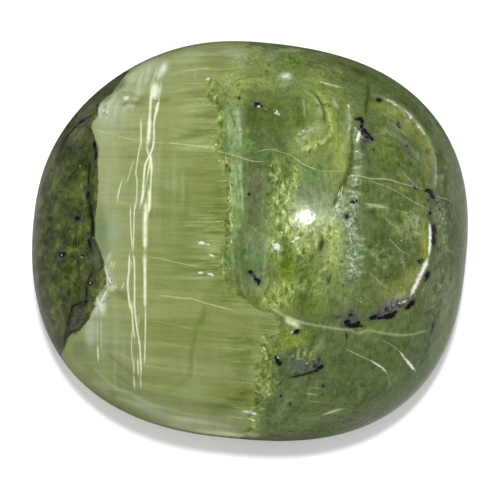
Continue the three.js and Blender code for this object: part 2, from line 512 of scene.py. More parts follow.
# %% Fibres of the panel
fibre_fall = np.interp(y, [-7.56, -5.56, -3.16, -0.36, 3.24, 5.64, 7.24], [0.16, 0.1, 0.075, 0.03, 0.0, -0.02, -0.07])
panel_middle = -3.4
marks["fibre_height"] = y + fibre_fall * (x - panel_middle)
fibre_zones = [
    (0, 120, [(-2.4, 6.4, 1.8, 1.2, 0), (-2.8, 4, 2, 1.6, 0)]), (-2, 160, [(-2.6, 0.4, 2, 2.4, 0)]),
    (-4, 170, [(-2.6, -2.8, 2.8, 1.4, 0), (-3.2, -4.4, 2.8, 1.2, 0)]), (-7, 150, [(-2.8, -6, 3.2, 1.1, -8)]),
]
for k, (fall, count, spots) in enumerate(fibre_zones):
    panel.flecks(count, (0.5, 1.9), (0.045, 0.07), (fall, 1.2), [(160, 171, 118), (152, 163, 100)],
        spots, 20 + k, (0.1, 0.35))
    panel.flecks(count, (0.5, 1.9), (0.045, 0.08), (fall, 1.2), [(116, 130, 72), (124, 134, 66)],
        spots, 30 + k, (0.1, 0.35))
panel.flecks(120, (0.35, 0.8), (0.04, 0.05), (-1, 3), [(178, 188, 132), (166, 180, 118)],
    [(-1.8, 5, 0.6, 0.6, 0), (-2.1, 4.1, 0.6, 0.6, 0), (-1.6, 0.8, 0.5, 0.6, 0), (-1.5, -0.4, 0.5, 0.8, 0),
        (-1.8, -1.2, 0.5, 0.4, 0), (-0.6, -4.2, 0.4, 0.3, 0)], 41,
    (0.4, 0.9))
panel.flecks(84, (0.3, 0.8), (0.04, 0.05), (-1, 3), [(112, 126, 62), (104, 120, 58)],
    [(-1.7, 5, 0.5, 0.6, 0), (-2.1, 4, 0.6, 0.6, 0), (-1.5, 0.4, 0.4, 0.8, 0), (-1.6, -1, 0.4, 0.6, 0),
        (-0.4, -4.4, 0.6, 0.7, 0)], 44, (0.4, 0.8))
panel.flecks(60, (0.5, 1.5), (0.05, 0.08), (88, 3), [(172, 183, 142), (144, 156, 106)],
    [(-5.5, 1.6, 0.6, 3.2, 0), (-5.5, -3.6, 0.7, 1.6, 0), (-3.6, 2.4, 0.6, 1.6, 0),
        (-2.7, 2, 0.6, 1.2, 0)], 42, (0.12, 0.35))
panel.flecks(40, (0.3, 0.8), (0.05, 0.1), (58, 10), [(190, 200, 164), (172, 184, 138)],
    [(-4.9, 6.1, 0.9, 0.6, 40)], 43, (0.3, 0.7))
panel.strokes((176, 184, 138), [
    (0.05, 0.6, [-3.4, 6.64, -2.6, 6.8, -1.8, 6.9, -0.96, 6.84]), (0.05, 0.5, [-3.2, 7.44, -2, 7.48,
        -0.88, 7.48]),
    (0.045, 0.6, [-3.12, 6, -1.68, 6.16]), (0.07, 0.4, [-5.28, -5.8, -4, -6.52, -2.4, -6.92, -0.6, -7.16]),
    (0.05, 0.5, [-2.76, 0.66, -2, 0.64, -1.6, 0.76]), (0.05, 0.5, [-2, 0.4, -1.4, 0.56, -1.04, 0.36]),
    (0.05, 0.35, [-5.6, -4.36, -4, -5, -2, -5.2, -0.4, -5.36]), (0.045, 0.35, [-2.2, 7.08, -2.16, 6.36]),
    (0.05, 0.4, [-2.24, -4.44, -2.2, -5, -2.28, -5.56]), (0.05, 0.3, [-2.72, 3, -2.68, 2.04, -2.72, 1.24])])
panel.strokes((106, 120, 66), [
    (0.08, 0.6, [-5.52, -5.24, -4.4, -5.96, -3, -6.28, -1.4, -6.56, -0.4, -6.68]), (0.06, 0.5, [
        -5.84, -4.36, -4.8, -5.24, -4, -5.56]),
    (0.05, 0.5, [-5.6, 5.76, -4.88, 5.92, -4, 5.52]), (0.06, 0.4, [-1.76, -2.44, -1.88, -2.96,
        -2.12, -3.48, -2.28, -4.16, -2.36, -4.84]),
    (0.05, 0.3, [-1.12, 7.88, -1.12, 7.24]), (0.1, 0.3, [-2.56, 2.6, -2.56, 0.84])])

panel.dabs((172, 182, 150), [(-6.4, -3.56, 0.24, 0.64, 0.8), (-6.04, -2.6, 0.24, 0.4, 0.8, 20),
    (-5.76, -1.48, 0.16, 0.48, 0.6, 18), (-5.8, 5.2, 0.3, 0.4, 0.6), (-3.48, 6.92, 0.24, 0.4, 0.9, -15),
    (-3.84, 6.04, 0.18, 0.32, 0.6, 8), (-3.76, 5.96, 0.2, 0.48, 0.4, 8), (-4.96, 5.76, 0.16, 0.08, 0.7)])
panel.strokes((88, 104, 46), [(0.05, 0.6, [-0.56, -6.16, -0.16, -6.04, 0.24, -6]), (0.05, 0.5, [
    -1.12, -6.32, -0.48, -6.36, 0, -6.32])])
panel.strokes((114, 130, 62), [(0.11, 0.5, [-1.84, -2.68, -2.2, -3.72, -2.32, -4.36, -2.36, -5,
    -2.48, -5.48, -2.96, -5.84, -3.6, -6.12]),
    (0.14, 0.9, [-1.76, -2.68, -1.88, -3.08, -2.16, -3.56]), (0.1, 0.3, [-2.48, -5.44, -2.96, -5.8,
        -3.6, -6.12])])
panel.strokes((108, 122, 72), [(0.09, 0.6, [-5.52, -5.64, -4.56, -6.04, -3.6, -6.32, -2, -6.56,
    -0.56, -6.64]), (0.08, 0.6, [-5.84, -5.88, -5.04, -6.44, -4, -6.84, -2.4, -7.24, -0.96, -7.4]), (0.06, 0.4, [
        -6.64, -5, -6.16, -5.24, -5.68, -5.56])])
panel.strokes((166, 176, 134), [(0.1, 0.8, [-5.52, -6.2, -3.6, -6.92, -2.16, -7.2, -0.56, -7.44]), (0.06, 0.5, [
    -6.32, -5, -5.6, -5.72, -4.8, -6.2]), (0.05, 0.4, [-4.88, 5.4, -5.12, 4.68, -5.28, 3.96]), (0.05, 0.4, [
        -4.56, 5.32, -4.72, 4.68, -4.8, 4.04]), (0.05, 0.4, [-4.16, 5.48, -4.32, 4.28])])
panel.strokes((204, 212, 176), [(0.06, 0.5, [-4, 7.08, -4.16, 6.68, -4.24, 6.36]), (0.07, 0.8, [-4.48, 6.96,
    -5.12, 6.28]), (0.06, 0.6, [-4.16, 7, -4.4, 6.52, -4.56, 6.04]),
    (0.06, 0.5, [-4.88, 6.52, -5.2, 6.04, -5.52, 5.64]), (0.05, 0.5, [-3.92, 7, -4.24, 6.12]), (0.06, 0.5, [
        -5.84, 5.64, -5.96, 5.24, -5.92, 4.76]), (0.05, 0.5, [-5.6, 5.72, -5.68, 5.32, -5.6, 4.92]), (0.05, 0.4, [
            -5.24, 5.72, -5.36, 5.32, -5.44, 4.84])])
panel.strokes((118, 132, 90), [(0.05, 0.5, [-4.64, 6.84, -4.96, 6.36, -5.28, 5.96]), (0.05, 0.5, [
    -4.04, 6.92, -4.24, 6.44, -4.4, 5.96]),
    (0.05, 0.4, [-5.76, 5.56, -5.8, 5.16, -5.76, 4.76]), (0.05, 0.4, [-5.12, 5.48, -5.24, 5, -5.32, 4.44])])
panel.strokes((112, 120, 58), [(0.09, 0.9, [-5.28, 5.32, -5.04, 5.48, -4.64, 5.52, -4.12, 5.48]), (0.1, 0.8, [
    -4, 5.56, -3.04, 5.68]), (0.14, 0.8, [-6.32, -1.64, -6, -1.84, -5.52, -2, -4.64, -2.28])])
panel.strokes((190, 200, 158), [(0.07, 0.8, [-4.96, 5.52, -4.76, 5.4, -4.56, 5.44]), (0.07, 0.8, [
    -3.96, 5.44, -3.76, 5.32])])

panel.dabs((210, 217, 186), [(-3.78, 6.04, 0.18, 0.32, 0.8, 8), (-6, -2.52, 0.2, 0.36, 0.8, 20),
    (-3.48, 6.92, 0.16, 0.24, 0.8, -20), (-3.68, 6.64, 0.1, 0.16, 0.6), (-5.96, 5.2, 0.12, 0.2, 0.6),
    (-5.76, 5.04, 0.1, 0.2, 0.5)])
panel.dabs((150, 168, 134), [(-5.5, 0.4, 0.3, 0.6, 0.6)])
panel.dabs((120, 112, 116), [(-5.72, -2.28, 0.1, 0.1, 0.6)])
panel.dabs((200, 210, 174), [(-4.84, 6.52, 0.32, 0.14, 0.5, 48)])
panel.dabs((184, 194, 156), [(-4.2, 7, 0.6, 0.3, 0.7, 25), (-0.72, 7.56, 0.56, 0.16, 0.35),
    (-0.48, 7.4, 0.4, 0.12, 0.3)])
panel.dabs((118, 142, 106), [(-6, 0.5, 0.3, 0.8, 0.75)])
panel.strokes((206, 214, 188), [(0.1, 0.7, [-5.64, -1.88, -6.08, -2.68, -6.24, -3.08]), (0.06, 0.7, [
    -5.8, -0.84, -5.64, -1.48, -5.48, -1.8]), (0.07, 0.5, [-5.56, -0.4, -5.76, -0.92]), (0.06, 0.6, [
        -6.04, 5.36, -5.96, 4.76]), (0.06, 0.6,
    [-5.84, 5.44, -5.76, 4.92]), (0.05, 0.6, [-5.64, 5.48, -5.72, 5.04])])
panel.dabs((150, 158, 124), [(-6.88, -5.08, 0.32, 0.16, 0.6, -40), (-6, -5.8, 0.48, 0.2, 0.6, -35),
    (-4, -6.76, 0.72, 0.2, 0.7, -20), (-1.8, -7.64, 1.2, 0.16, 0.7, -6)])

# %% Thin colour over the panel
panel.glaze((0.85, 0.88, 0.8), [(-2.4, 1.1, 0.7, 0.9, 0.9), (-1.2, 1.4, 0.5, 1, 0.9),
    (-1.1, -2.3, 0.6, 0.6, 0.6)])
panel.glaze((0.83, 0.86, 0.82), [(-2.4, -1.2, 0.8, 0.7, 0.9), (-3.6, 1.2, 0.5, 0.6, 0.5)])
panel.glaze((1.15, 1.15, 1.22), [(-2.6, -6, 1.4, 0.4, 0.9, -8), (-2.4, -7.3, 1, 0.3, 0.9, -4),
    (-2.6, 7.4, 0.7, 0.4, 0.8), (-5.8, -1.2, 0.4, 0.6, 0.8)])
panel.glaze((0.92, 0.95, 0.87), [(-4.8, 2.4, 0.6, 0.7, 0.8)])
panel.glaze((0.86, 0.87, 0.76), [(-1.8, -0.2, 1, 1.8, 0.9), (-1.7, 2.4, 0.7, 1, 0.5)])
panel.glaze((0.86, 0.87, 0.78), [(-4.8, 3.1, 0.6, 0.9, 0.8), (-6, 0.7, 0.4, 1, 0.8)])
panel.glaze((1.07, 1.09, 1.2), [(-3.6, 6, 1, 0.5, 0.8), (-6, -3.6, 0.6, 1.6, 0.6)])
panel.glaze((1.3, 1.28, 1.34), [(-2.4, -7.5, 2.4, 0.3, 0.8, -6), (-0.72, -7.8, 1.04, 0.24, 0.6, -4)])
panel.glaze((1.2, 1.17, 1.34), [(-3.6, -6.2, 1.8, 0.5, 0.85, -10)])
panel.glaze((0.9, 0.9, 0.84), [(-0.4, -6, 0.9, 0.4, 0.8), (-4.9, 6, 0.6, 0.4, 0.9),
    (-1.1, 7.2, 0.5, 0.5, 0.9), (-1.4, 4.8, 0.5, 0.6, 0.9)])
panel.glaze((1.1, 1.1, 1.2), [(-2.4, 7.3, 0.6, 0.6, 0.9), (-2.4, -6, 0.7, 0.5, 0.8),
    (-2.4, -7.3, 0.8, 0.4, 0.9), (-4.2, -6, 1, 0.5, 0.5, -10)])
panel.glaze((0.92, 0.93, 0.85), [(-1.2, 2.4, 0.5, 0.7, 0.9), (-1.1, 0.8, 0.5, 1, 0.9),
    (-1.1, -2, 0.6, 0.7, 0.8)])

panel.dabs((104, 116, 82), [(-5.24, 6.24, 0.4, 0.18, 0.8, 52), (-5.68, 5.76, 0.28, 0.14, 0.7, 42)])
panel.dabs((206, 212, 184), [(-5.54, -1.8, 0.2, 0.22, 0.8), (-4.22, -0.68, 0.12, 0.28, 0.5)])
panel.glaze((0.76, 0.79, 0.64), [(-1.3, -1.5, 0.3, 0.4, 0.9), (-3.2, 1.7, 0.4, 0.4, 0.8),
    (-0.84, -2.2, 0.36, 0.24, 0.9, 20), (-1.04, -0.28, 0.2, 0.4, 0.9), (0.7, -3.5, 0.4, 0.3, 0.9),
    (-0.2, -6.4, 0.6, 0.3, 0.8)])
panel.glaze((0.82, 0.84, 0.76), [(-0.6, -6.5, 0.6, 0.3, 0.8, -4), (-0.16, -6.04, 0.32, 0.24, 0.6),
    (-1.1, -6.8, 0.6, 0.3, 1, -8), (-0.24, -5.88, 0.48, 0.24, 0.7), (-0.3, -4.2, 0.5, 0.6, 0.9),
    (-0.48, -5.4, 0.64, 0.24, 0.8), (-6.8, -4.3, 0.3, 0.4, 0.8)])
panel.glaze((1.13, 1.14, 1.2), [(-3.2, -7.1, 1, 0.3, 0.8, -12), (-4.2, -6.7, 0.8, 0.3, 1.1, -20),
    (-5.7, -5.7, 0.7, 0.6, 0.9, -38), (-4, -4.6, 0.4, 0.6, 0.7)])
# Painted rim light: a pale line along the bottom rim, with the glaze after it, keeps the edge from going dim.
panel.dabs((200, 207, 160), [(-1.36, -7.8, 1.28, 0.2, 0.9, -6), (-2.8, -7.56, 0.64, 0.16, 0.5, -12)])
panel.glaze((1.25, 1.22, 1.26), [(-1.12, -7.88, 1.2, 0.16, 0.9, -5)])

# %% The mossy field: its drifts
field = Coat(98, 114, 67)
field.dabs((88, 105, 65), [(3.8, -6, 4.8, 2, 0.95), (2, -4.8, 2, 1, 0.7), (6, -4, 1.6, 1, 0.6)])
field.dabs((128, 144, 80), [(2.8, 4.8, 1.4, 1.7, 0.8), (3.4, 3.2, 0.9, 1.2, 0.8),
    (2.2, 3.6, 0.8, 0.6, 0.6), (1.6, 6.4, 1.2, 0.6, 0.5)])
field.dabs((134, 148, 96), [(2.8, 1.2, 1.8, 2, 0.85), (3.7, -0.6, 0.7, 2, 0.8), (2, 2, 0.9, 1.2, 0.6),
    (0.9, 1, 0.5, 1.6, 0.5)])
field.dabs((122, 138, 78), [(1.6, -1.2, 1.6, 1.8, 0.8), (1, -2.4, 1.2, 0.7, 0.6)])
field.dabs((103, 120, 70), [(0.1, 2.5, 0.6, 4, 0.95), (0.5, -0.8, 0.6, 1.4, 0.6)])
field.dabs((93, 108, 60), [(5.8, 1, 1.8, 3.6, 0.75), (5.4, -0.6, 1.4, 1.8, 0.7),
    (4.6, 6, 1.2, 0.6, 0.8, -22), (4, 6.8, 1.6, 0.5, 0.7, -20)])
field.dabs((138, 152, 89), [(-0.6, 6.7, 0.5, 1, 0.8), (-0.4, 7.5, 0.3, 0.4, 0.9)])
field.dabs((128, 142, 96), [(0.7, 6.6, 0.6, 0.3, 0.5), (2.64, 7.48, 0.56, 0.24, 0.7),
    (0.12, 7.12, 0.2, 0.2, 0.5)])
field.dabs((90, 106, 50), [(0.3, 5, 0.7, 0.6, 1), (0.5, 5.4, 0.6, 0.3, 0.8), (1, 4.8, 0.4, 0.7, 0.8),
    (2, 5.2, 0.3, 0.6, 0.7), (2, 7, 0.64, 0.24, 0.6), (3.4, 7, 0.6, 0.3, 0.4, -15)])
field.dabs((95, 113, 66), [(0.3, 3.6, 0.6, 0.8, 0.85), (0.3, 2, 0.3, 0.6, 0.8), (0.9, 4, 0.4, 0.6, 0.7),
    (0.9, 3.2, 0.3, 0.5, 0.5)])
field.dabs((104, 128, 68), [(1.44, 5.16, 0.24, 0.72, 0.7), (2.6, 2.9, 0.5, 0.3, 0.7),
    (2.6, 2.5, 0.6, 0.3, 0.7), (1.5, 3.2, 0.4, 0.4, 0.5)])
field.dabs((106, 108, 82), [(0.2, 2.4, 0.4, 0.6, 0.6), (0.3, 1.1, 0.3, 0.6, 0.55)])
field.dabs((124, 138, 94), [(0.5, 0.4, 0.6, 0.3, 0.6), (0.3, -0.2, 0.4, 0.4, 0.4),
    (0.3, -1.8, 0.6, 0.5, 0.5)])
field.dabs((134, 156, 104), [(-0.6, 4.4, 0.3, 1.2, 0.85), (-0.6, 3, 0.3, 1.2, 0.6),
    (-0.64, 1.44, 0.24, 1.36, 0.6), (-0.4, 5.16, 0.24, 0.4, 0.4)])
field.dabs((120, 138, 84), [(-0.16, 4.04, 0.24, 0.48, 0.6), (-0.8, -0.3, 0.3, 0.7, 0.7),
    (-0.4, 0.8, 0.3, 0.5, 0.4)])
field.dabs((154, 172, 118), [(1.4, 1.6, 0.3, 0.8, 0.8), (1.6, 2.2, 0.24, 0.32, 0.6),
    (0.8, -0.2, 0.2, 0.32, 0.8), (1.04, -0.36, 0.16, 0.24, 0.6), (1.4, 0.8, 0.4, 0.4, 0.7),
    (2.6, 4.4, 0.4, 0.3, 0.6), (2.2, 3.8, 0.5, 0.3, 0.5, 10)])
# Painted highlight haze: pale grey-green round the crown's highlight, above it and spreading below.
field.dabs((152, 166, 126), [(2.3, 1.5, 0.7, 0.3, 0.9), (3.2, 1.2, 0.6, 0.6, 0.8),
    (2.7, 0.5, 0.8, 0.3, 0.7), (3.8, 1, 0.3, 0.6, 0.6)])
field.dabs((170, 184, 132), [(2.7, 0.7, 0.6, 0.3, 0.8), (2, 0.4, 0.4, 0.3, 0.8),
    (3.2, 0.5, 0.4, 0.4, 0.6)])
field.dabs((142, 160, 102), [(3.4, -0.4, 0.5, 0.8, 0.8), (2, -0.12, 0.4, 0.24, 0.7),
    (3.6, 3.24, 0.2, 0.48, 0.7)])
field.dabs((110, 130, 66), [(2, -0.8, 0.6, 0.5, 0.8), (2.2, -1.3, 0.5, 0.4, 0.7),
    (3.2, -1.8, 0.6, 0.4, 0.5), (2.7, -2.4, 0.6, 0.4, 0.6)])
field.dabs((96, 114, 50), [(2.1, -2.5, 0.5, 0.5, 0.7), (2, -1.2, 0.3, 0.3, 0.6),
    (2.56, -2.6, 0.4, 0.24, 0.5)])
field.dabs((104, 132, 44), [(1.5, -0.9, 0.3, 0.6, 0.9), (1.5, -1.5, 0.3, 0.3, 0.7),
    (2.8, -1.08, 0.2, 0.32, 0.3)])
field.dabs((140, 158, 86), [(1.36, -1.92, 0.56, 0.24, 0.7), (0.9, -2.4, 0.4, 0.3, 0.6),
    (0.48, -2.04, 0.32, 0.24, 0.4)])
field.dabs((120, 135, 102), [(4.2, 0.6, 0.4, 1.2, 0.8), (4.1, -0.8, 0.4, 0.9, 0.7),
    (4.32, -0.04, 0.24, 0.56, 0.5)])
field.dabs((134, 148, 98), [(4.2, 1.7, 0.3, 0.4, 0.7), (4.24, 2.44, 0.28, 0.24, 0.7),
    (4.24, 4.12, 0.24, 0.32, 0.7), (3.84, 4.36, 0.24, 0.96, 0.5)])
field.dabs((110, 126, 76), [(4, -1.7, 0.4, 0.3, 0.6)])
field.dabs((86, 94, 68), [(4.8, 4.28, 0.24, 0.36, 0.9), (4.48, 4.52, 0.2, 0.32, 0.5),
    (4, -3.1, 0.6, 0.3, 0.8), (5.4, -2.9, 0.6, 0.3, 0.8, 12)])
field.dabs((94, 112, 64), [(5.2, 1.5, 1, 1, 0.6), (4.8, 0.8, 0.5, 0.5, 0.6)])
field.dabs((84, 102, 54), [(5.4, -0.4, 0.6, 0.9, 0.85), (5, -0.9, 0.4, 0.4, 0.6),
    (5, 6.5, 0.9, 0.3, 0.7, -30), (6, 6.1, 0.6, 0.4, 0.6, -38), (4.24, 6.44, 0.56, 0.2, 0.6, -18)])
field.dabs((118, 127, 72), [(5.9, 5.2, 0.7, 0.3, 0.85, -25), (6.96, 3.96, 0.2, 0.56, 0.8, 15),
    (5.44, 2.6, 0.4, 0.2, 0.6), (6, 4.4, 0.4, 0.3, 0.4)])
field.dabs((116, 124, 73), [(7.12, 3.24, 0.24, 0.64, 0.8), (7.04, 2.28, 0.24, 0.48, 0.5),
    (7.04, 1.24, 0.24, 0.4, 0.5)])
field.dabs((124, 136, 88), [(6.5, 0.6, 0.4, 0.6, 0.8), (6.08, 0.36, 0.32, 0.24, 0.4)])
field.dabs((140, 146, 74), [(7, 0.04, 0.16, 0.72, 0.9), (6.96, -0.6, 0.2, 0.32, 0.7)])
field.dabs((120, 129, 74), [(6.4, -1.4, 0.6, 0.3, 0.8, 42), (5.8, -1.9, 0.6, 0.3, 0.85, 25),
    (6.48, -1.8, 0.24, 0.24, 0.5)])
field.dabs((108, 118, 72), [(5.1, -1.9, 0.6, 0.4, 0.7)])
field.dabs((110, 115, 88), [(5.68, -2.36, 0.48, 0.2, 0.7, 18), (6.16, -2.28, 0.24, 0.2, 0.5, 30)])
field.dabs((96, 112, 76), [(3.8, -2.5, 0.6, 0.3, 0.7), (3.6, -3.2, 0.6, 0.4, 0.5)])
field.dabs((82, 99, 60), [(6.5, -2.8, 0.6, 0.5, 0.8), (7.2, -3.1, 0.3, 0.6, 0.5),
    (6.6, -4.3, 0.6, 0.6, 0.5)])
field.dabs((108, 124, 74), [(1.2, -4, 0.6, 0.6, 0.7), (0.7, -4.4, 0.4, 0.8, 0.8),
    (0.6, -5.6, 0.4, 0.6, 0.85), (4.8, -3.56, 0.8, 0.16, 0.6)])
field.dabs((122, 136, 80), [(0.3, -4.6, 0.3, 0.6, 0.9), (0.5, -5.4, 0.3, 0.5, 0.7),
    (0.2, -6, 0.3, 0.3, 0.6), (0.48, -4.16, 0.24, 0.32, 0.5)])
field.dabs((124, 137, 86), [(-0.5, -7.2, 0.6, 0.4, 0.8), (0, -7.3, 0.5, 0.4, 0.8),
    (0.2, -6.8, 0.3, 0.3, 0.7), (-0.16, -7.8, 0.64, 0.24, 0.5)])
field.dabs((100, 114, 60), [(-0.2, -6.4, 0.3, 0.3, 0.9)])
field.dabs((79, 92, 60), [(2, -5.2, 0.5, 0.3, 0.8), (1.6, -4.7, 0.3, 0.3, 0.4),
    (2.64, -5.32, 0.48, 0.2, 0.6), (1.4, -5.2, 0.3, 0.3, 0.4)])
field.dabs((81, 98, 56), [(3.8, -4.8, 0.6, 0.4, 0.7), (5.4, -4.7, 0.3, 0.3, 0.6), (4.9, -6, 0.8, 0.3, 0.8),
    (4.4, -6.5, 0.5, 0.3, 0.7)])
field.dabs((97, 113, 70), [(2.6, -6, 0.4, 0.3, 0.7)])
field.dabs((92, 100, 76), [(3.2, -7.1, 0.6, 0.4, 0.7), (3.8, -7.3, 0.6, 0.3, 0.7),
    (4.8, -6.9, 0.6, 0.3, 0.5, 20)])
field.dabs((84, 101, 63), [(1, -7.2, 0.6, 0.6, 0.8)])
field.dabs((90, 98, 66), [(7.5, 2.6, 0.3, 0.5, 0.9), (7.6, 3.2, 0.3, 0.4, 0.7, 8),
    (7.44, 0.2, 0.24, 0.56, 0.9), (7.5, -0.8, 0.3, 0.6, 0.85), (7, -2.4, 0.3, 0.4, 0.7),
    (7.44, 1.64, 0.24, 0.48, 0.4)])
field.dabs((110, 121, 82), [(7.6, 1, 0.24, 0.32, 0.8)])
# Painted reflection, in part: a greyer, paler olive band round the right side of the rim, where the steep polish
# mirrors its surroundings; the rest is the stone's own olive.
field.dabs((104, 112, 88), [(8.2, 2, 0.3, 1.6, 0.85, 4), (8.2, 0, 0.3, 2, 0.85),
    (7.8, -1.4, 0.3, 0.8, 0.5, -5), (7.2, -1.6, 0.3, 0.6, 0.7), (7.7, 4, 0.3, 0.6, 0.7, 25)])
field.dabs((116, 124, 100), [(8, -2, 0.3, 0.9, 0.8, -12), (7.68, -3.08, 0.24, 0.96, 0.7, -18),
    (7.52, -4.12, 0.16, 0.56, 0.5, -24), (7.3, 5, 0.3, 0.7, 0.6, 38), (4.4, -7.32, 0.8, 0.16, 0.4, 18)])
field.dabs((136, 150, 84), [(-1, 6.3, 0.8, 0.6, 0.9), (0.3, 6.3, 0.9, 0.3, 0.8),
    (-0.7, 5.7, 0.6, 0.3, 0.7)])
field.dabs((126, 145, 88), [(0.84, 7.4, 0.44, 0.24, 0.8, 10), (-0.16, 7, 0.32, 0.24, 0.6),
    (0.64, 7, 0.28, 0.24, 0.7)])
field.dabs((153, 167, 112), [(-0.5, 7.5, 0.4, 0.3, 0.9), (1.4, 6.36, 0.28, 0.2, 0.8),
    (1.44, 6.64, 0.24, 0.16, 0.5), (-0.4, 7, 0.24, 0.16, 0.4)])
field.dabs((112, 132, 68), [(1.6, 7.4, 0.8, 0.3, 0.8), (0.28, 7.36, 0.2, 0.24, 0.6),
    (0.48, 6.8, 0.48, 0.2, 0.6), (1.9, 6.7, 0.4, 0.3, 0.7), (1.6, 7.04, 0.56, 0.24, 0.5)])
field.dabs((103, 118, 60), [(0.32, 5.96, 0.28, 0.16, 0.6), (0.48, 5.6, 0.72, 0.2, 0.8),
    (0.72, 7.8, 0.8, 0.16, 0.6, 4), (1.52, 5.6, 0.64, 0.24, 0.5)])
field.dabs((134, 151, 87), [(2.56, 6.36, 0.48, 0.24, 0.7), (2.48, 6.72, 0.24, 0.16, 0.6),
    (2.6, 5.3, 0.4, 0.4, 0.6)])
field.dabs((86, 102, 55), [(0.2, 5.2, 0.5, 0.3, 0.8)])
field.dabs((138, 159, 108), [(-0.6, 4.6, 0.4, 1, 0.7), (-0.6, 2.8, 0.3, 0.5, 0.6),
    (-0.92, 5.16, 0.2, 0.32, 0.5)])
field.dabs((130, 151, 97), [(-0.6, 1.4, 0.3, 1.2, 0.8), (-0.6, 3.5, 0.3, 0.3, 0.6)])
field.dabs((114, 134, 79), [(-0.6, -0.8, 0.4, 1, 0.75), (-0.16, 3.96, 0.24, 0.4, 0.7)])
field.dabs((120, 136, 93), [(0.2, 0.1, 0.5, 0.3, 0.8), (0.48, -0.2, 0.28, 0.24, 0.6),
    (0.48, -1.08, 0.2, 0.48, 0.5), (0.3, -2, 0.4, 0.3, 0.6)])
field.dabs((92, 115, 62), [(-0.2, -0.8, 0.4, 0.6, 0.8)])
field.dabs((104, 124, 82), [(0.2, -0.8, 0.3, 0.5, 0.5), (-0.1, -1.6, 0.4, 0.3, 0.7)])
field.dabs((109, 122, 58), [(-0.8, -1.9, 0.4, 0.5, 0.8, -20), (-0.6, -2.3, 0.5, 0.3, 0.6, -30)])
field.dabs((144, 164, 104), [(0.9, 0.8, 0.3, 0.3, 0.7), (0.84, -0.12, 0.24, 0.32, 0.6),
    (1.36, 1.72, 0.24, 0.32, 0.6)])
field.dabs((176, 192, 136), [(1.8, 0.8, 0.3, 0.3, 0.8), (1.76, 0.36, 0.24, 0.24, 0.6),
    (2, 1.3, 0.3, 0.3, 0.5)])
field.dabs((102, 127, 46), [(1.36, -0.84, 0.24, 0.56, 0.8), (1.9, -1.1, 0.3, 0.4, 0.5)])
field.dabs((142, 161, 80), [(1.32, -2.04, 0.32, 0.2, 0.7), (0.8, -2.48, 0.32, 0.2, 0.5)])
field.dabs((78, 90, 48), [(2.8, 7.4, 1.2, 0.2, 0.5, -14), (4.48, 6.84, 1.04, 0.16, 0.6, -26),
    (6.16, 5.64, 0.88, 0.2, 0.6, -42), (1.6, 7.72, 0.8, 0.16, 0.4, -4)])

field.dabs((146, 162, 124), [(5.08, 1.4, 0.48, 0.07, 0.6, 8)])
field.dabs((136, 150, 104), [(6.48, 1.16, 0.48, 0.16, 0.6, 12), (6.16, 0.52, 0.56, 0.2, 0.5, 20),
    (6.5, 0.7, 0.3, 0.5, 0.5), (5.84, 0.6, 0.32, 0.16, 0.4, -20), (4.88, -0.44, 0.4, 0.16, 0.4, -10),
    (5.2, -0.84, 0.2, 0.16, 0.5), (6.16, -0.6, 0.56, 0.16, 0.4, 30), (5.84, -0.36, 0.24, 0.16, 0.4)])
field.dabs((146, 153, 80), [(7, 0.12, 0.16, 0.72, 0.8), (6.48, -1.48, 0.48, 0.2, 0.4, 52),
    (6.8, -0.84, 0.2, 0.24, 0.5), (6, -2.04, 0.4, 0.2, 0.3, 20)])
field.dabs((132, 140, 74), [(6, 5, 0.7, 0.3, 0.55, -32), (6.5, 4.5, 0.5, 0.3, 0.6, -42),
    (5.52, 5.32, 0.48, 0.24, 0.4, -20), (6.96, 3.8, 0.2, 0.4, 0.4, 20)])
field.dabs((94, 110, 60), [(6.6, 3.6, 0.4, 0.3, 0.6, -30), (6.8, 2.5, 0.3, 0.3, 0.5)])
field.strokes((80, 96, 54), [(0.16, 0.6, [5.76, 5.72, 6.48, 5.24, 7.12, 4.52, 7.52, 3.72, 7.64, 2.84,
    7.6, 1.96]), (0.12, 0.5, [7.84, 5.24, 8.08, 4.44, 8.24, 3.64])])
field.strokes((146, 160, 76), [(0.22, 0.6, [3.6, 4.44, 3.6, 3.84, 3.56, 3.24, 3.48, 2.76]), (0.1, 0.5, [
    3.32, 4.28, 3.32, 3.64])])
field.strokes((66, 86, 34), [(0.1, 0.9, [4.12, 4.52, 4.02, 3.16, 3.88, 2.64, 3.48, 1.72, 3.32, 1.16]),
    (0.09, 0.95, [4.72, 6.44, 4.7, 5.64, 4.6, 4.92]), (0.08, 0.5, [6.16, 5.48, 6.56, 5.12, 6.96, 4.68,
        7.24, 4.16])])
field.dabs((92, 98, 74), [(6.4, 5.12, 0.32, 0.16, 0.6, -40)])
field.strokes((152, 160, 122), [(0.08, 0.55, [4.8, 5.88, 5.4, 5.68, 5.96, 5.4, 6.44, 5, 6.84, 4.56,
    7.16, 4.04, 7.32, 3.4, 7.4, 2.6, 7.36, 2.04])])
field.strokes((142, 148, 122), [(0.1, 0.6, [5.2, 4.6, 6.08, 4, 6.48, 3.64, 6.84, 3.2]), (0.06, 0.5, [
    5.52, 4.76, 6, 4.44, 6.48, 4]), (0.06, 0.5, [6.08, 3.56, 6.48, 3.24, 6.8, 2.84]), (0.06, 0.4, [
        6.64, 2.6, 6.96, 2.12])])
field.strokes((82, 92, 60), [(0.07, 0.6, [5.68, 4.44, 6.16, 4.12, 6.56, 3.72]), (0.07, 0.6, [6, 3.8,
    6.4, 3.48, 6.8, 3]),
    (0.06, 0.5, [6.48, 2.92, 6.8, 2.52, 7.04, 2.04])])
field.dabs((150, 168, 132), [(4.28, 4.16, 0.16, 0.32, 0.7), (4.32, 3.4, 0.24, 0.32, 0.5),
    (4.4, 2.92, 0.2, 0.24, 0.5)])
field.dabs((84, 100, 76), [(4.56, 3.88, 0.16, 0.4, 0.6), (4.64, 3.24, 0.16, 0.48, 0.4)])
field.dabs((84, 80, 82), [(4.12, -3.12, 0.28, 0.2, 0.95), (4.06, -2.84, 0.14, 0.16, 0.8)])
field.dabs((198, 208, 190), [(1.44, 6.56, 0.24, 0.16, 0.75), (1.2, 6.64, 0.12, 0.12, 0.4)])
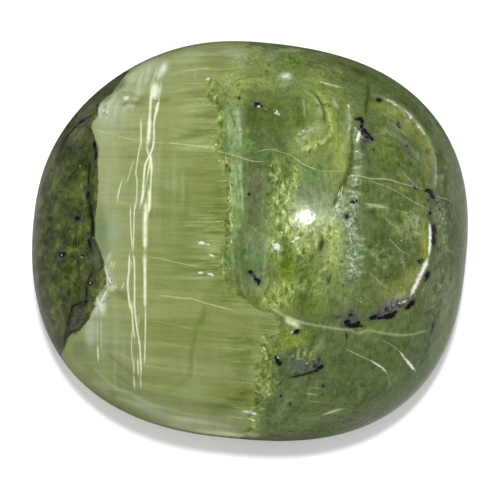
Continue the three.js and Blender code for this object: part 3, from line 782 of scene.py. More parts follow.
field.dabs((62, 80, 58), [(4.56, 3.88, 0.18, 0.24, 0.8), (3.32, -3.12, 0.12, 0.2, 0.6)])
field.dabs((112, 110, 82), [(6.84, -1.84, 0.24, 0.32, 0.6, 20)])
field.dabs((206, 216, 160), [(-1.36, 3.92, 0.1, 0.16, 0.7, 20), (-1.24, 3.6, 0.06, 0.12, 0.5)])
field.dabs((176, 190, 132), [(3.4, -0.2, 0.3, 0.5, 0.5), (3.2, 0.44, 0.32, 0.24, 0.4)])
field.dabs((114, 112, 104), [(5.52, -2.68, 0.4, 0.24, 0.7, 15), (5.84, -2.52, 0.32, 0.16, 0.5, 30)])
field.dabs((150, 152, 142), [(7.84, -1.72, 0.12, 0.24, 0.5), (7.6, -0.36, 0.16, 0.4, 0.2)])
# More painted highlight haze: greyish above the crown's highlight and pale below it.
field.dabs((172, 186, 148), [(1.76, 1.68, 0.2, 0.32, 0.3), (2, 1.44, 0.48, 0.24, 0.6),
    (2.96, 1, 0.4, 0.24, 0.4)])
field.dabs((150, 164, 128), [(2.2, 1.9, 0.6, 0.3, 0.5)])
field.dabs((126, 140, 106), [(2.4, 2, 0.7, 0.6, 0.7), (3, 1.8, 0.4, 0.4, 0.5)])
field.dabs((188, 204, 150), [(2.48, 0.64, 0.64, 0.2, 0.6, -8), (3.1, 0.8, 0.3, 0.3, 0.5),
    (2.08, 0.44, 0.32, 0.16, 0.5)])
field.glaze((1.32, 1.3, 1.3), [(0.8, -7.3, 2.4, 0.4, 0.9, 4), (2.8, -7, 1.2, 0.3, 0.6, 12)])
field.glaze((0.78, 0.8, 0.76), [(0, -6, 0.6, 0.4, 0.9), (3.6, -6, 0.5, 0.4, 0.5)])
field.glaze((1.16, 1.14, 1.1), [(2, -6.3, 1.4, 0.6, 0.7), (6, -3, 0.9, 0.8, 0.8),
    (1.2, -3.6, 0.6, 0.4, 0.8)])
field.glaze((1.12, 1.12, 1.08), [(3.2, -4.8, 2.4, 0.6, 0.8), (2.8, -3.6, 1.2, 0.4, 0.6),
    (4.8, -3.6, 1, 0.4, 0.9)])
field.glaze((0.87, 0.88, 0.88), [(8.5, 0, 0.3, 3.2, 0.8), (1.8, 4.8, 0.8, 0.5, 0.7),
    (2.4, 1.9, 0.6, 0.6, 0.6)])
field.glaze((1.1, 1.1, 1.2), [(4.8, 3.6, 0.6, 0.6, 0.8)])

field.glaze((0.86, 0.89, 0.84), [(1.3, 1.8, 0.8, 1.1, 0.9), (2.4, 2, 0.6, 0.8, 0.8),
    (2.4, -3.7, 0.6, 0.5, 0.8)])
field.glaze((0.88, 0.88, 0.78), [(1.3, -3.6, 1, 0.6, 0.9), (0.1, -2.8, 0.6, 0.8, 0.8),
    (6, 1, 0.6, 0.8, 0.8), (6, 3.6, 0.6, 0.6, 0.7)])
field.glaze((0.8, 0.83, 0.82), [(0, -6, 0.5, 0.5, 0.8), (4.7, -6, 0.9, 0.5, 0.9),
    (6.5, -5.4, 0.6, 0.6, 0.6)])
field.glaze((0.84, 0.86, 0.8), [(8.3, 0, 0.3, 1.8, 0.9), (7.2, -3.6, 0.5, 0.6, 0.9)])
field.glaze((0.92, 0.93, 0.86), [(0.1, 4.8, 0.6, 1, 0.9), (1.3, 4.9, 0.6, 1, 0.8),
    (2.4, 4.9, 0.5, 0.9, 0.8)])
field.glaze((1.18, 1.14, 1.24), [(6, -2.4, 0.6, 0.4, 1.2)])
field.glaze((0.92, 0.93, 0.85), [(0, -2.4, 0.7, 0.6, 0.9), (1.3, -2.4, 0.7, 0.6, 1),
    (2.5, -2.4, 0.6, 0.6, 0.9), (0, -3.6, 0.6, 0.6, 0.9), (1.3, -3.6, 0.6, 0.6, 1.2), (3, 6, 1, 0.6, 0.8),
    (2.5, 4.8, 0.6, 0.6, 0.9), (7.2, 0, 0.3, 1, 1.1), (6, 3.6, 0.6, 0.6, 0.8), (1.2, -4.8, 0.6, 0.6, 0.9),
    (6, -4.8, 0.6, 0.6, 0.8)])
field.glaze((0.9, 0.92, 0.9), [(2.5, -3.6, 0.6, 0.6, 0.9), (2.5, -4.8, 0.6, 0.5, 1.3),
    (0, 1.3, 0.5, 0.6, 0.9), (1.2, 1.3, 0.5, 0.7, 1), (6, 0, 0.6, 0.6, 0.9), (6, -6, 0.5, 0.5, 1.2),
    (0, -6, 0.5, 0.5, 1.2), (1.2, 2.4, 0.6, 0.6, 0.7)])
field.glaze((0.8, 0.82, 0.74), [(7.96, 0, 0.2, 1.44, 0.9), (8.3, -0.4, 0.3, 1.4, 0.5)])
# The first three ovals lighten the painted haze below and right of the crown's highlight.
field.glaze((1.3, 1.22, 1.36), [(2.72, 0.44, 0.64, 0.24, 0.9), (2.88, 0.12, 0.32, 0.2, 0.7),
    (3.44, 0.88, 0.2, 0.16, 0.8), (2.8, 1.76, 0.28, 0.24, 0.8), (3.76, 2.16, 0.2, 0.4, 0.8, -14),
    (3.12, -0.76, 0.56, 0.2, 0.6), (1.52, -0.68, 0.24, 0.28, 1.2)])
field.glaze((0.8, 0.82, 0.82), [(1.48, 1.32, 0.24, 0.64, 0.8), (3.76, -0.2, 0.2, 0.64, 0.9),
    (1.4, -7, 0.6, 0.3, 0.7), (1.52, 2.44, 0.24, 0.24, 0.9), (2.16, -0.44, 0.24, 0.16, 0.8)])
# Thin greyish and pale lines hugging the bottom and top rims: partly painted rim reflection.
field.dabs((104, 116, 88), [(1.6, -7.8, 1.04, 0.16, 0.7, 3)])
field.dabs((160, 170, 122), [(0, -7.88, 0.48, 0.16, 0.9), (0.2, 7.6, 0.3, 0.3, 0.7),
    (1.68, 7.76, 0.64, 0.16, 0.6, 4)])
field.glaze((0.76, 0.79, 0.64), [(1.7, -2, 0.6, 0.3, 0.8), (-0.88, 1.92, 0.16, 0.48, 0.9),
    (-0.84, -2.2, 0.36, 0.24, 0.9, 20), (-1.04, -0.28, 0.2, 0.4, 0.9), (7.64, -0.64, 0.16, 0.56, 0.9),
    (7.88, 1.36, 0.2, 0.48, 0.7), (1.5, -4.2, 0.6, 0.3, 1.1), (1.76, -4.72, 0.36, 0.2, 0.8),
    (1.2, 1.3, 0.4, 0.5, 0.6), (2.44, 3.52, 0.36, 0.2, 0.8), (0.2, 3, 0.3, 0.3, 0.9),
    (0.9, 3, 0.3, 0.4, 0.8), (4.44, 6.76, 0.4, 0.2, 1, -26), (1.72, 1, 0.2, 0.32, 0.8),
    (1.16, 6.68, 0.2, 0.2, 0.6), (6.52, 1.08, 0.28, 0.24, 0.5), (3.64, 5.08, 0.2, 0.56, 0.4)])
field.glaze((1.3, 1.28, 1.3), [(6.16, -2.2, 0.24, 0.16, 0.9), (1.16, -0.28, 0.24, 0.24, 0.8)])
field.glaze((1.1, 1.06, 1.03), [(3.6, 2.4, 0.5, 0.5, 0.8), (7.2, 3.6, 0.3, 0.5, 1.2)])
field.dabs((128, 142, 84), [(0.24, 7.64, 0.4, 0.24, 0.8)])
field.dabs((140, 158, 116), [(0.88, 7.4, 0.2, 0.16, 0.35, 20), (1.48, 6.44, 0.36, 0.2, 0.5)])
field.dabs((102, 136, 54), [(1.8, 7.2, 0.5, 0.3, 0.3), (0.48, 7, 0.4, 0.16, 0.3)])
field.dabs((66, 84, 44), [(6.48, 5.52, 0.56, 0.24, 0.6, -38), (7.16, 4.84, 0.48, 0.2, 0.5, -52),
    (7.84, 2.76, 0.2, 0.64, 0.3, 4)])
field.dabs((112, 132, 60), [(5.4, 3.8, 0.6, 0.8, 0.45), (5.1, 5.3, 0.4, 0.4, 0.3)])
field.dabs((96, 106, 100), [(2.16, -4.96, 0.6, 0.2, 0.8, 8)])
field.dabs((72, 82, 62), [(7, -4.6, 0.2, 0.32, 0.6, -20), (7.44, -3.56, 0.12, 0.32, 0.5, -15)])
field.glaze((0.74, 0.78, 0.6), [(2.48, -2.08, 0.32, 0.24, 0.8), (1.8, -4.2, 0.4, 0.3, 0.8),
    (1.12, -4.28, 0.24, 0.2, 0.7), (5.68, 5.64, 0.24, 0.14, 0.9, -20), (0.96, 0.24, 0.2, 0.28, 0.7),
    (3.68, 5.12, 0.12, 0.32, 0.8), (2, -0.36, 0.24, 0.2, 0.7), (1.04, 1.48, 0.2, 0.56, 0.6),
    (-1.24, 4.92, 0.2, 0.28, 0.6), (-0.56, -2.48, 0.36, 0.24, 0.6, 18)])
field.glaze((0.8, 0.82, 0.84), [(7.2, -0.16, 0.12, 0.28, 0.9), (3.96, 0.72, 0.2, 0.28, 0.8),
    (4.36, 3.28, 0.12, 0.28, 0.8), (1.8, 1.04, 0.2, 0.28, 0.6), (0, -6.16, 0.48, 0.2, 0.8, 10),
    (-0.56, -6.44, 0.56, 0.2, 0.8, -6), (4.32, 4.4, 0.16, 0.2, 0.6)])
# Among these, the two ovals near y = -7.8 lighten the bottom rim: painted rim light.
field.glaze((1.22, 1.16, 1.28), [(3, 0, 0.3, 0.3, 0.6), (3.24, 0.52, 0.28, 0.2, 0.9),
    (1.12, -0.32, 0.2, 0.24, 0.9), (3.96, 4.28, 0.12, 0.36, 1), (1.32, -0.12, 0.2, 0.24, 0.9),
    (4.08, 3.68, 0.12, 0.32, 0.9), (6.4, -1.96, 0.28, 0.16, 0.9, 35), (6.16, -2.24, 0.2, 0.12, 0.7, 20),
    (4.04, 1.24, 0.16, 0.28, 0.7), (0.52, 2.48, 0.2, 0.24, 0.8), (1.36, 2.8, 0.24, 0.24, 0.7),
    (2.68, -2.72, 0.28, 0.2, 0.8), (3.04, -2.8, 0.24, 0.2, 0.5), (7.52, 3.92, 0.16, 0.4, 0.6, 10),
    (0.24, -7.72, 0.4, 0.2, 0.6), (-0.16, -7.8, 0.56, 0.16, 0.9, -4), (1.24, -0.88, 0.2, 0.28, 0.4)])
field.dabs((76, 84, 62), [(3.96, -3.52, 0.36, 0.12, 0.6, -4)])
field.dabs((112, 142, 40), [(1.52, -1.16, 0.2, 0.48, 0.5), (1.52, 0.12, 0.12, 0.32, 0.3)])
field.glaze((0.96, 0.98, 0.9), [(4, 0, 7.2, 9.6, 1)])
field.glaze((0.95, 0.96, 0.8), [(8, 0.2, 0.6, 3.2, 0.9)])
field.glaze((0.76, 0.79, 0.66), [(5.2, -0.68, 0.32, 0.2, 0.8, -20), (1.72, -3.16, 0.2, 0.12, 0.7),
    (1.4, 2.4, 0.3, 0.3, 0.8), (-0.48, -2.48, 0.36, 0.2, 0.7, 20), (4.12, 0.28, 0.2, 0.32, 0.5),
    (0.24, 7.4, 0.24, 0.2, 0.5), (5.68, 5.6, 0.24, 0.14, 0.6, -20), (4.4, 6.8, 0.36, 0.2, 0.7, -26),
    (-1.04, -0.28, 0.16, 0.32, 0.6), (2.48, 3.68, 0.24, 0.12, 0.4, 20)])
field.glaze((1.24, 1.18, 1.24), [(5, 2.88, 0.24, 0.24, 0.9), (3, 0.08, 0.24, 0.2, 0.7),
    (4.04, 3.8, 0.08, 0.24, 0.6)])
field.flecks(170, (0.05, 0.16), (0.03, 0.06), (60, 40), [(184, 200, 124), (92, 116, 42), (108, 130, 48)],
    [(2.3, 0.2, 0.9, 0.6, 0), (3.4, -0.8, 0.4, 1, 0), (2.7, -1.7, 0.7, 0.6, 0), (1.8, -2, 0.5, 0.3, 0),
        (1.3, 1.2, 0.3, 1, 0)], 65, (0.3, 0.8))
field.flecks(130, (0.06, 0.2), (0.03, 0.045), (-4, 10), [(188, 200, 162), (160, 176, 126), (84, 102, 68), (76, 96, 56)],
    [(4.16, 2.04, 0.24, 0.72, 0), (4, 0.8, 0.3, 0.6, 0), (4.2, -0.4, 0.3, 1, 0),
        (4.32, 3.24, 0.14, 0.64, 0), (3.44, 1.4, 0.16, 0.56, -14), (4, -1.4, 0.3, 0.3, 0)], 61, (0.4, 0.9))
field.flecks(170, (0.08, 0.24), (0.035, 0.09), (-36, 30), [(72, 98, 40), (68, 92, 42), (134, 146, 84)],
    [(5.5, 2.8, 1, 1.4, 0), (5.6, 0.8, 1, 1.6, 0), (5.4, -0.8, 0.8, 1, 0), (6.4, 1.6, 0.6, 1.6, 0)], 62, (0.3, 0.7))
field.flecks(44, (0.06, 0.14), (0.035, 0.06), (-30, 30), [(158, 168, 116), (146, 156, 100)],
    [(5.8, 5, 0.8, 0.4, -30), (6.5, 0.6, 0.4, 0.5, 0), (6.16, -2.04, 0.48, 0.2, 24),
        (5.2, -0.8, 0.5, 0.4, 0)], 63, (0.4, 0.9))
field.flecks(170, (0.08, 0.26), (0.04, 0.07), (80, 30), [(66, 80, 42), (130, 142, 98), (60, 76, 38)],
    [(7.6, 1, 0.2, 0.8, 0), (7.8, 0, 0.4, 2, 0), (7.5, -2.4, 0.3, 1, -14), (7.68, 2.64, 0.24, 1.04, 0)], 64, (0.4, 0.85))

# %% The mossy field: strokes
field.strokes((118, 138, 88), [
    (0.16, 0.75, [3.2, -3.72, 2.72, -4.28, 2.24, -5.08, 1.92, -5.72, 1.36, -6.52, 0.88, -7.48]), (0.1, 0.45, [
        2.88, -3.96, 2.64, -4.6, 2.72, -5.24]),
    (0.12, 0.4, [2, -5.72, 1.6, -6.36, 1.28, -7.16]), (0.1, 0.4, [3.6, -3.72, 4.24, -4.12, 4.64, -4.44]),
    (0.1, 0.35, [4.08, -5.56, 4.4, -6.04, 4.24, -6.6]), (0.12, 0.4, [0.64, -7.64, 1.6, -7.44, 2.4, -7.56])])
field.strokes((76, 94, 54), [
    (0.14, 0.5, [2.48, -4.44, 2.24, -5, 2, -5.72, 1.52, -6.28]), (0.1, 0.45, [0.8, -6.44, 1.04, -7,
        0.96, -7.56]),
    (0.1, 0.4, [4.8, -5.48, 5.2, -5.96, 4.88, -6.52]), (0.12, 0.35, [3.44, -4.12, 3.76, -5, 3.6, -5.72])])
field.dabs((128, 147, 62), [(1.8, -4, 0.6, 0.3, 0.7), (1.52, -3.72, 0.24, 0.32, 0.6),
    (1.36, -4.28, 0.32, 0.2, 0.5)])
field.dabs((110, 130, 46), [(1.36, -3.88, 0.16, 0.32, 0.6), (2.16, -3.72, 0.24, 0.16, 0.5)])
field.strokes((222, 228, 180), [(0.1, 1.0, [1.32, -3.24, 1.52, -3.2, 1.76, -3.32, 2.04, -3.52]), (0.05, 0.6, [
    1.2, -3.08, 1.68, -3.14, 2.16, -3.4])])
field.strokes((176, 192, 120), [(0.035, 0.6, [1.84, -4.84, 2, -4.12]), (0.035, 0.6, [2.08, -4.84,
    2.28, -4.2]),
    (0.035, 0.6, [2.32, -4.76, 2.52, -4.32]), (0.04, 0.5, [0.48, -3.56, 0.44, -3.88, 0.36, -4.12])])
field.strokes((168, 190, 148), [
    (0.045, 0.8, [-0.52, 5.36, -0.4, 4.36, -0.36, 3.64]), (0.035, 0.6, [-0.88, 5.32, -0.84, 4.44,
        -0.84, 3.96, -0.8, 3.64]), (0.035, 0.5, [-0.64, 5.16, -0.56, 4.76, -0.58, 3.96]),
    (0.035, 0.3, [-0.68, 3.32, -0.7, 1.16]), (0.04, 0.7, [-0.46, 3.32, -0.4, 2.92, -0.26, 1]), (0.035, 0.5, [
        -0.6, 2.76, -0.56, 2.36, -0.62, 1.96, -0.64, 1.4]),
    (0.035, 0.45, [-0.48, 2.2, -0.38, 1.16]), (0.05, 0.4, [-0.68, 0.64, -0.56, 0.6, -0.36, 0.62])])
field.strokes((150, 172, 140), [
    (0.06, 0.45, [-0.68, 0.52, -0.68, -0.76, -0.6, -1.4]), (0.06, 0.4, [0.56, 0.12, 0.6, -0.44,
        0.52, -1.56]),
    (0.05, 0.35, [0.48, 1.8, 0.52, 1.4, 0.48, 1]), (0.05, 0.35, [-0.08, 0.04, -0.16, -0.84]),
    (0.05, 0.3, [0.12, 0.04, 0.28, -0.92]), (0.05, 0.3, [0.36, -1.16, 0.32, -1.72, 0.24, -2.28])])
field.strokes((78, 100, 50), [
    (0.05, 0.75, [-0.68, 5.36, -0.78, 5.16, -0.62, 4.76, -0.72, 4.32]), (0.04, 0.6, [-0.26, 5, -0.24, 4.52,
        -0.26, 4.04]), (0.035, 0.5, [-0.72, 4.2, -0.7, 3.8]), (0.04, 0.5, [-0.48, 3.96, -0.56, 3.4]),
    (0.04, 0.4, [-0.54, 3.08, -0.48, 2.2]), (0.05, 0.4, [-0.16, -0.2, -0.16, -0.68]), (0.05, 0.4, [
        0.24, -0.6, 0.28, -1.16]),
    (0.05, 0.5, [-0.2, 3.24, -0.16, 2.6, -0.16, 2.04])])
field.dabs((148, 164, 104), [(2.68, 4.6, 0.28, 0.24, 0.6, 20), (2.72, 5.12, 0.18, 0.48, 0.5),
    (2.36, 3.96, 0.32, 0.18, 0.5, 20)])
field.strokes((182, 196, 128), [(0.08, 0.8, [3.08, 4.12, 2.68, 3.88, 2.24, 3.76, 2.08, 3.52]), (0.07, 0.7, [
    2.4, 4.28, 2.04, 4.08, 1.76, 4])])
field.strokes((166, 184, 96), [
    (0.1, 0.8, [2.56, 6.12, 2.88, 5.76, 3.1, 5.32, 3.2, 4.84, 3.26, 4.48, 3.16, 4.2, 2.8, 3.92, 2.2, 3.72]), (0.07, 0.6, [
        1.84, 3.24, 1.76, 2.84, 1.88, 2.44]), (0.06, 0.5, [2.64, 6.68, 2.88, 6.44, 3.2, 6.28])])
field.strokes((168, 182, 140), [
    (0.06, 0.8, [2.16, 5.96, 2.48, 5.86, 2.72, 5.52, 2.86, 5.16, 2.9, 4.84]),
    (0.07, 0.75, [3, 6, 3.32, 5.68, 3.56, 5.16]), (0.05, 0.6, [2.12, 5.84, 2.2, 4.84]),
    (0.09, 0.8, [2.76, 4.6, 2.44, 4.44, 2.12, 4.32, 1.84, 4.12])])
field.strokes((168, 180, 140), [(0.07, 0.7, [3.92, 5.48, 3.96, 5.08, 3.96, 4.6, 3.88, 4.04]), (0.05, 0.4, [
    3.84, 4.04, 3.8, 3.48])])
field.strokes((76, 96, 42), [
    (0.09, 0.7, [4.72, 6.28, 4.68, 5.64, 4.6, 5.08]), (0.08, 0.9, [4.08, 3.96, 4.08, 3.32, 3.92, 2.68,
        3.44, 1.64, 3.28, 1.24]),
    (0.06, 1.0, [2.36, 6.04, 2.68, 5.76, 2.88, 5.4, 2.98, 4.96, 2.98, 4.56]), (0.05, 0.7, [3.44, 4.28,
        3.08, 3.92, 2.64, 3.68, 2.16, 3.52]),
    (0.06, 0.5, [4.52, 3.72, 4.56, 3.16, 4.44, 2.6]), (0.06, 0.5, [3.16, -1.24, 3.2, -1.56, 3.04, -1.84]),
    (0.07, 0.4, [0.48, -3.4, 1.2, -3.72, 1.52, -4.2]), (0.05, 0.4, [-1.44, 6.44, -1.12, 6.12, -0.96, 5.64]),
    (0.06, 0.6, [1.32, 0.12, 1.36, -0.44, 1.32, -0.84]), (0.05, 0.4, [2.16, -1.96, 2.12, -2.52, 2.04, -3])])
field.strokes((142, 158, 122), [
    (0.05, 0.6, [4.56, 1.48, 5.6, 1.34]), (0.03, 0.6, [5.32, 1.08, 5.64, 0.68, 6.12, 0.4]),
    (0.03, 0.5, [5.6, 0.12, 6, -0.36, 6.36, -0.56]), (0.03, 0.5, [6.04, 2.88, 6.32, 2.52, 6.72, 2.2]),
    (0.03, 0.4, [4.64, -1.16, 5.6, -2]), (0.05, 0.4, [2.64, -3.72, 2.88, -4.2, 2.72, -4.6]),
    (0.04, 0.4, [1.72, -4.44, 1.52, -5, 1.84, -5.32])])
field.strokes((200, 210, 166), [(0.035, 0.8, [2.72, 0.2, 2.64, -0.04, 2.68, -0.32]), (0.035, 0.8, [
    2.96, 0.2, 3, -0.04, 2.92, -0.32])])
field.dabs((56, 72, 30), [(2.86, -0.1, 0.14, 0.3, 1, -12)])
field.dabs((88, 104, 40), [(2.86, 0.04, 0.06, 0.14, 0.7, -12)])

# %% [markdown]
# ## Moss and crystal
# Moss and crystal stand in the stone as ragged tufts. A mark says how thickly each kind has grown, and
# the shader sets a many-sized noise against it: the tufts are where the two together come out high.
# That gives detail finer than the mesh, and leaves each patch where it was drawn.

# %% How thickly each kind has grown
growth_marks("tuft", [(1.4, 1.3, 0.3, 1.2, 0.5), (1, 2.4, 0.5, 1, 0.35), (1, 1, 0.4, 1, 0.4),
    (1.7, 2, 0.3, 0.7, 0.3), (-0.76, 1.44, 0.06, 2, 0.5), (1.6, 0.5, 0.5, 0.5, 0.5),
    (1, -0.4, 0.3, 0.6, 0.6), (2.7, 0.4, 1, 0.5, 0.55), (1.4, -1.8, 0.8, 0.3, 0.5),
    (1.1, -2.4, 0.9, 0.5, 0.5), (3.4, -0.4, 0.5, 1, 0.4), (2.2, -0.3, 0.6, 0.3, 0.45),
    (1.9, -0.8, 0.3, 0.8, 0.3), (2.8, -1.8, 0.6, 0.8, 0.35), (2.4, 3.8, 0.6, 0.3, 0.45, 12),
    (3.2, 5, 0.24, 1.2, 0.3, 8), (1.84, 2.76, 0.24, 0.64, 0.55), (1.1, 2.7, 0.3, 0.6, 0.25),
    (-0.6, 6.5, 0.6, 0.6, 0.35), (-1.5, 6, 0.3, 0.6, 0.5), (-1.16, 4.76, 0.2, 0.8, 0.55),
    (-1.3, 3.8, 0.3, 0.4, 0.6), (-1, 3.08, 0.24, 0.4, 0.5), (-0.8, 2.12, 0.12, 0.64, 0.5),
    (-0.84, 1.08, 0.12, 0.8, 0.5), (-0.96, -0.12, 0.2, 0.72, 0.5), (-1.04, -1.08, 0.24, 0.4, 0.5),
    (-0.6, -2, 0.6, 0.3, 0.3), (0.5, 7, 0.6, 0.4, 0.3), (0.24, 7.56, 0.32, 0.2, 0.3),
    (0.6, -4.3, 0.5, 0.6, 0.35), (0.6, -5.2, 0.6, 1, 0.38), (0.5, -6, 0.5, 0.6, 0.35),
    (0.2, -6.8, 0.5, 0.5, 0.35), (1.7, -4, 0.6, 0.4, 0.12), (0.1, -7.5, 0.3, 0.3, 0.5),
    (1, -3.9, 0.5, 0.3, 0.3), (1.36, -4.36, 0.32, 0.2, 0.15), (2, -4.12, 0.32, 0.2, 0.3),
    (3.2, 6.8, 0.7, 0.3, 0.3, -10), (3.6, 3.6, 0.4, 0.5, 0.25), (6.4, 0.4, 0.5, 0.5, 0.35),
    (5.44, -1.88, 0.48, 0.24, 0.2), (-0.4, -4.2, 0.5, 0.7, 0.15), (4, -6, 2.8, 1, 0.12),
    (3.8, 5.8, 0.6, 0.6, 0.2), (2, -3.56, 0.8, 0.24, 0.25), (-6.8, 0, 0.7, 2.4, 0.12)],
    [(0.08, 0.25, [3.2, 4.6, 3.28, 4.36, 2.88, 3.96, 2.48, 3.72, 2, 3.6]),
     (0.06, 0.2, [4, -4.04, 5.36, -3.88])])
growth_marks("hollow", [(0.9, 1.8, 0.4, 1.4, 0.45), (1.44, 2.84, 0.24, 0.56, 0.5),
    (1.4, -0.6, 0.3, 0.8, 0.7), (2, -0.9, 0.7, 0.6, 0.45), (2, -2.4, 0.6, 0.4, 0.5),
    (1.5, 0, 0.3, 0.4, 0.3), (2.8, -0.8, 0.6, 0.4, 0.25), (1.2, 1.44, 0.2, 0.8, 0.4),
    (2.3, -1.6, 0.5, 0.6, 0.4), (-1.4, 6, 0.3, 0.6, 0.4), (-1.12, 4.44, 0.16, 0.8, 0.5),
    (-0.84, 2.44, 0.12, 0.96, 0.6), (-0.92, 0.6, 0.16, 0.96, 0.6), (-0.96, -0.84, 0.24, 0.56, 0.5),
    (-0.8, -1.7, 0.4, 0.4, 0.5), (-0.24, -1.96, 0.4, 0.24, 0.3), (0.7, -4.2, 0.3, 0.5, 0.4),
    (0.8, -5.6, 0.3, 1, 0.35), (0.2, -6.4, 0.3, 0.3, 0.4), (1.2, 2.8, 0.5, 0.6, 0.4),
    (2, 2.76, 0.24, 0.56, 0.3), (0.5, 7.2, 0.6, 0.6, 0.3), (1.7, 7.2, 0.8, 0.3, 0.4),
    (2.9, 5.6, 0.4, 0.6, 0.4), (3.6, 6.8, 1.2, 0.4, 0.35, -16), (4, -4.4, 3.2, 2, 0.2),
    (5.5, -0.4, 1.2, 2, 0.2), (5.6, 3.6, 1.2, 1.6, 0.15), (-7.2, 1, 1, 2.4, 0.35),
    (-7.1, 3.6, 0.6, 0.5, 0.4), (4.2, -0.4, 0.3, 1.2, 0.25), (-0.4, 6.1, 0.3, 0.6, 0.35),
    (0.2, 4, 0.6, 1.6, 0.25), (3.8, 2.8, 0.4, 0.8, 0.2), (1.1, -3.8, 0.6, 0.3, 0.4)])
# Two crystal patches round the crown's highlight, at (2.3, 1.4) and (3, 1.1), also paint the sparkle of the polish
# there.
growth_marks("crystal", [(-5.56, -1.68, 0.2, 0.16, 0.7, 20), (-5.72, -1.24, 0.12, 0.4, 0.55, 18),
    (-5.96, -2.24, 0.2, 0.32, 0.65, 25), (-6.12, -2.68, 0.16, 0.36, 0.6, 15),
    (-6.32, -3.32, 0.16, 0.48, 0.4, 10), (-5.84, 5.16, 0.24, 0.36, 0.5), (6.5, 0.8, 0.5, 0.5, 0.25),
    (5.4, -0.2, 0.6, 0.3, 0.3), (5.2, -0.84, 0.32, 0.24, 0.35), (5.92, -0.84, 0.4, 0.24, 0.3),
    (6.4, 0, 0.3, 0.3, 0.35), (7.6, 1.16, 0.24, 0.56, 0.4), (7.68, 0.04, 0.24, 0.96, 0.25),
    (6.2, 3.8, 0.7, 0.4, 0.2, -30), (6.7, 3.3, 0.4, 0.3, 0.15), (4.2, 2.2, 0.3, 0.5, 0.35),
    (5.68, 4.84, 0.32, 0.24, 0.3), (5.44, 4.28, 0.4, 0.2, 0.35), (5.92, 1.48, 0.24, 0.12, 0.4),
    (4.5, -2.4, 0.4, 0.3, 0.3), (7.4, -2, 0.3, 0.8, 0.3), (0.88, 7.48, 0.28, 0.24, 0.25),
    (1.4, 6.5, 0.4, 0.3, 0.35), (-0.1, 7.2, 0.3, 0.4, 0.3), (-0.6, 7.2, 0.4, 0.5, 0.25),
    (-0.84, 6.04, 0.2, 0.56, 0.4), (-0.5, 4.4, 0.3, 1.2, 0.3), (-0.5, 2, 0.3, 2, 0.25),
    (1.08, -0.24, 0.2, 0.32, 0.75), (4.32, 3.24, 0.24, 0.64, 0.35), (2.3, 1.4, 0.8, 0.6, 0.2),
    (3, 1.1, 0.6, 0.6, 0.3), (3.8, 1.1, 0.3, 0.8, 0.45), (4.1, 0.2, 0.3, 1.4, 0.5),
    (4.1, -1.1, 0.4, 0.6, 0.45), (4.16, 1.68, 0.24, 0.36, 0.6), (4.2, 2.4, 0.3, 0.3, 0.5),
    (4, 4.76, 0.16, 0.88, 0.4), (4.24, 4.2, 0.16, 0.32, 0.6), (3.6, 1.8, 0.12, 0.56, 0.6, -14),
    (3.44, 1.16, 0.12, 0.32, 0.6), (1.12, 3, 0.24, 0.64, 0.35), (2.4, 4.7, 0.3, 0.5, 0.35),
    (6.6, 0.8, 0.4, 0.5, 0.35), (6, -0.84, 0.32, 0.2, 0.2), (-5.6, 4.8, 0.4, 0.5, 0.15),
    (-5.8, 0, 0.3, 0.8, 0.2), (5.2, -4, 2.8, 1.6, 0.07), (-7.6, 1.2, 1, 2.4, 0.07),
    (-6.6, 1.6, 0.3, 1.2, 0.12), (1.36, -4.16, 0.2, 0.32, 0.3), (2.16, -4.28, 0.24, 0.32, 0.3),
    (1.92, -4.68, 0.48, 0.2, 0.4), (7.8, 0.4, 0.3, 2.8, 0.12), (6.48, -2.04, 0.24, 0.24, 0.3),
    (5.36, -3, 0.4, 0.16, 0.2), (4, -2.36, 0.56, 0.2, 0.25), (0.5, 3.6, 0.3, 1.2, 0.08),
    (3.8, 0, 0.6, 1.6, 0.25), (-3.6, 6.8, 0.5, 0.6, 0.25), (-4.9, 6, 0.6, 0.5, 0.25)])
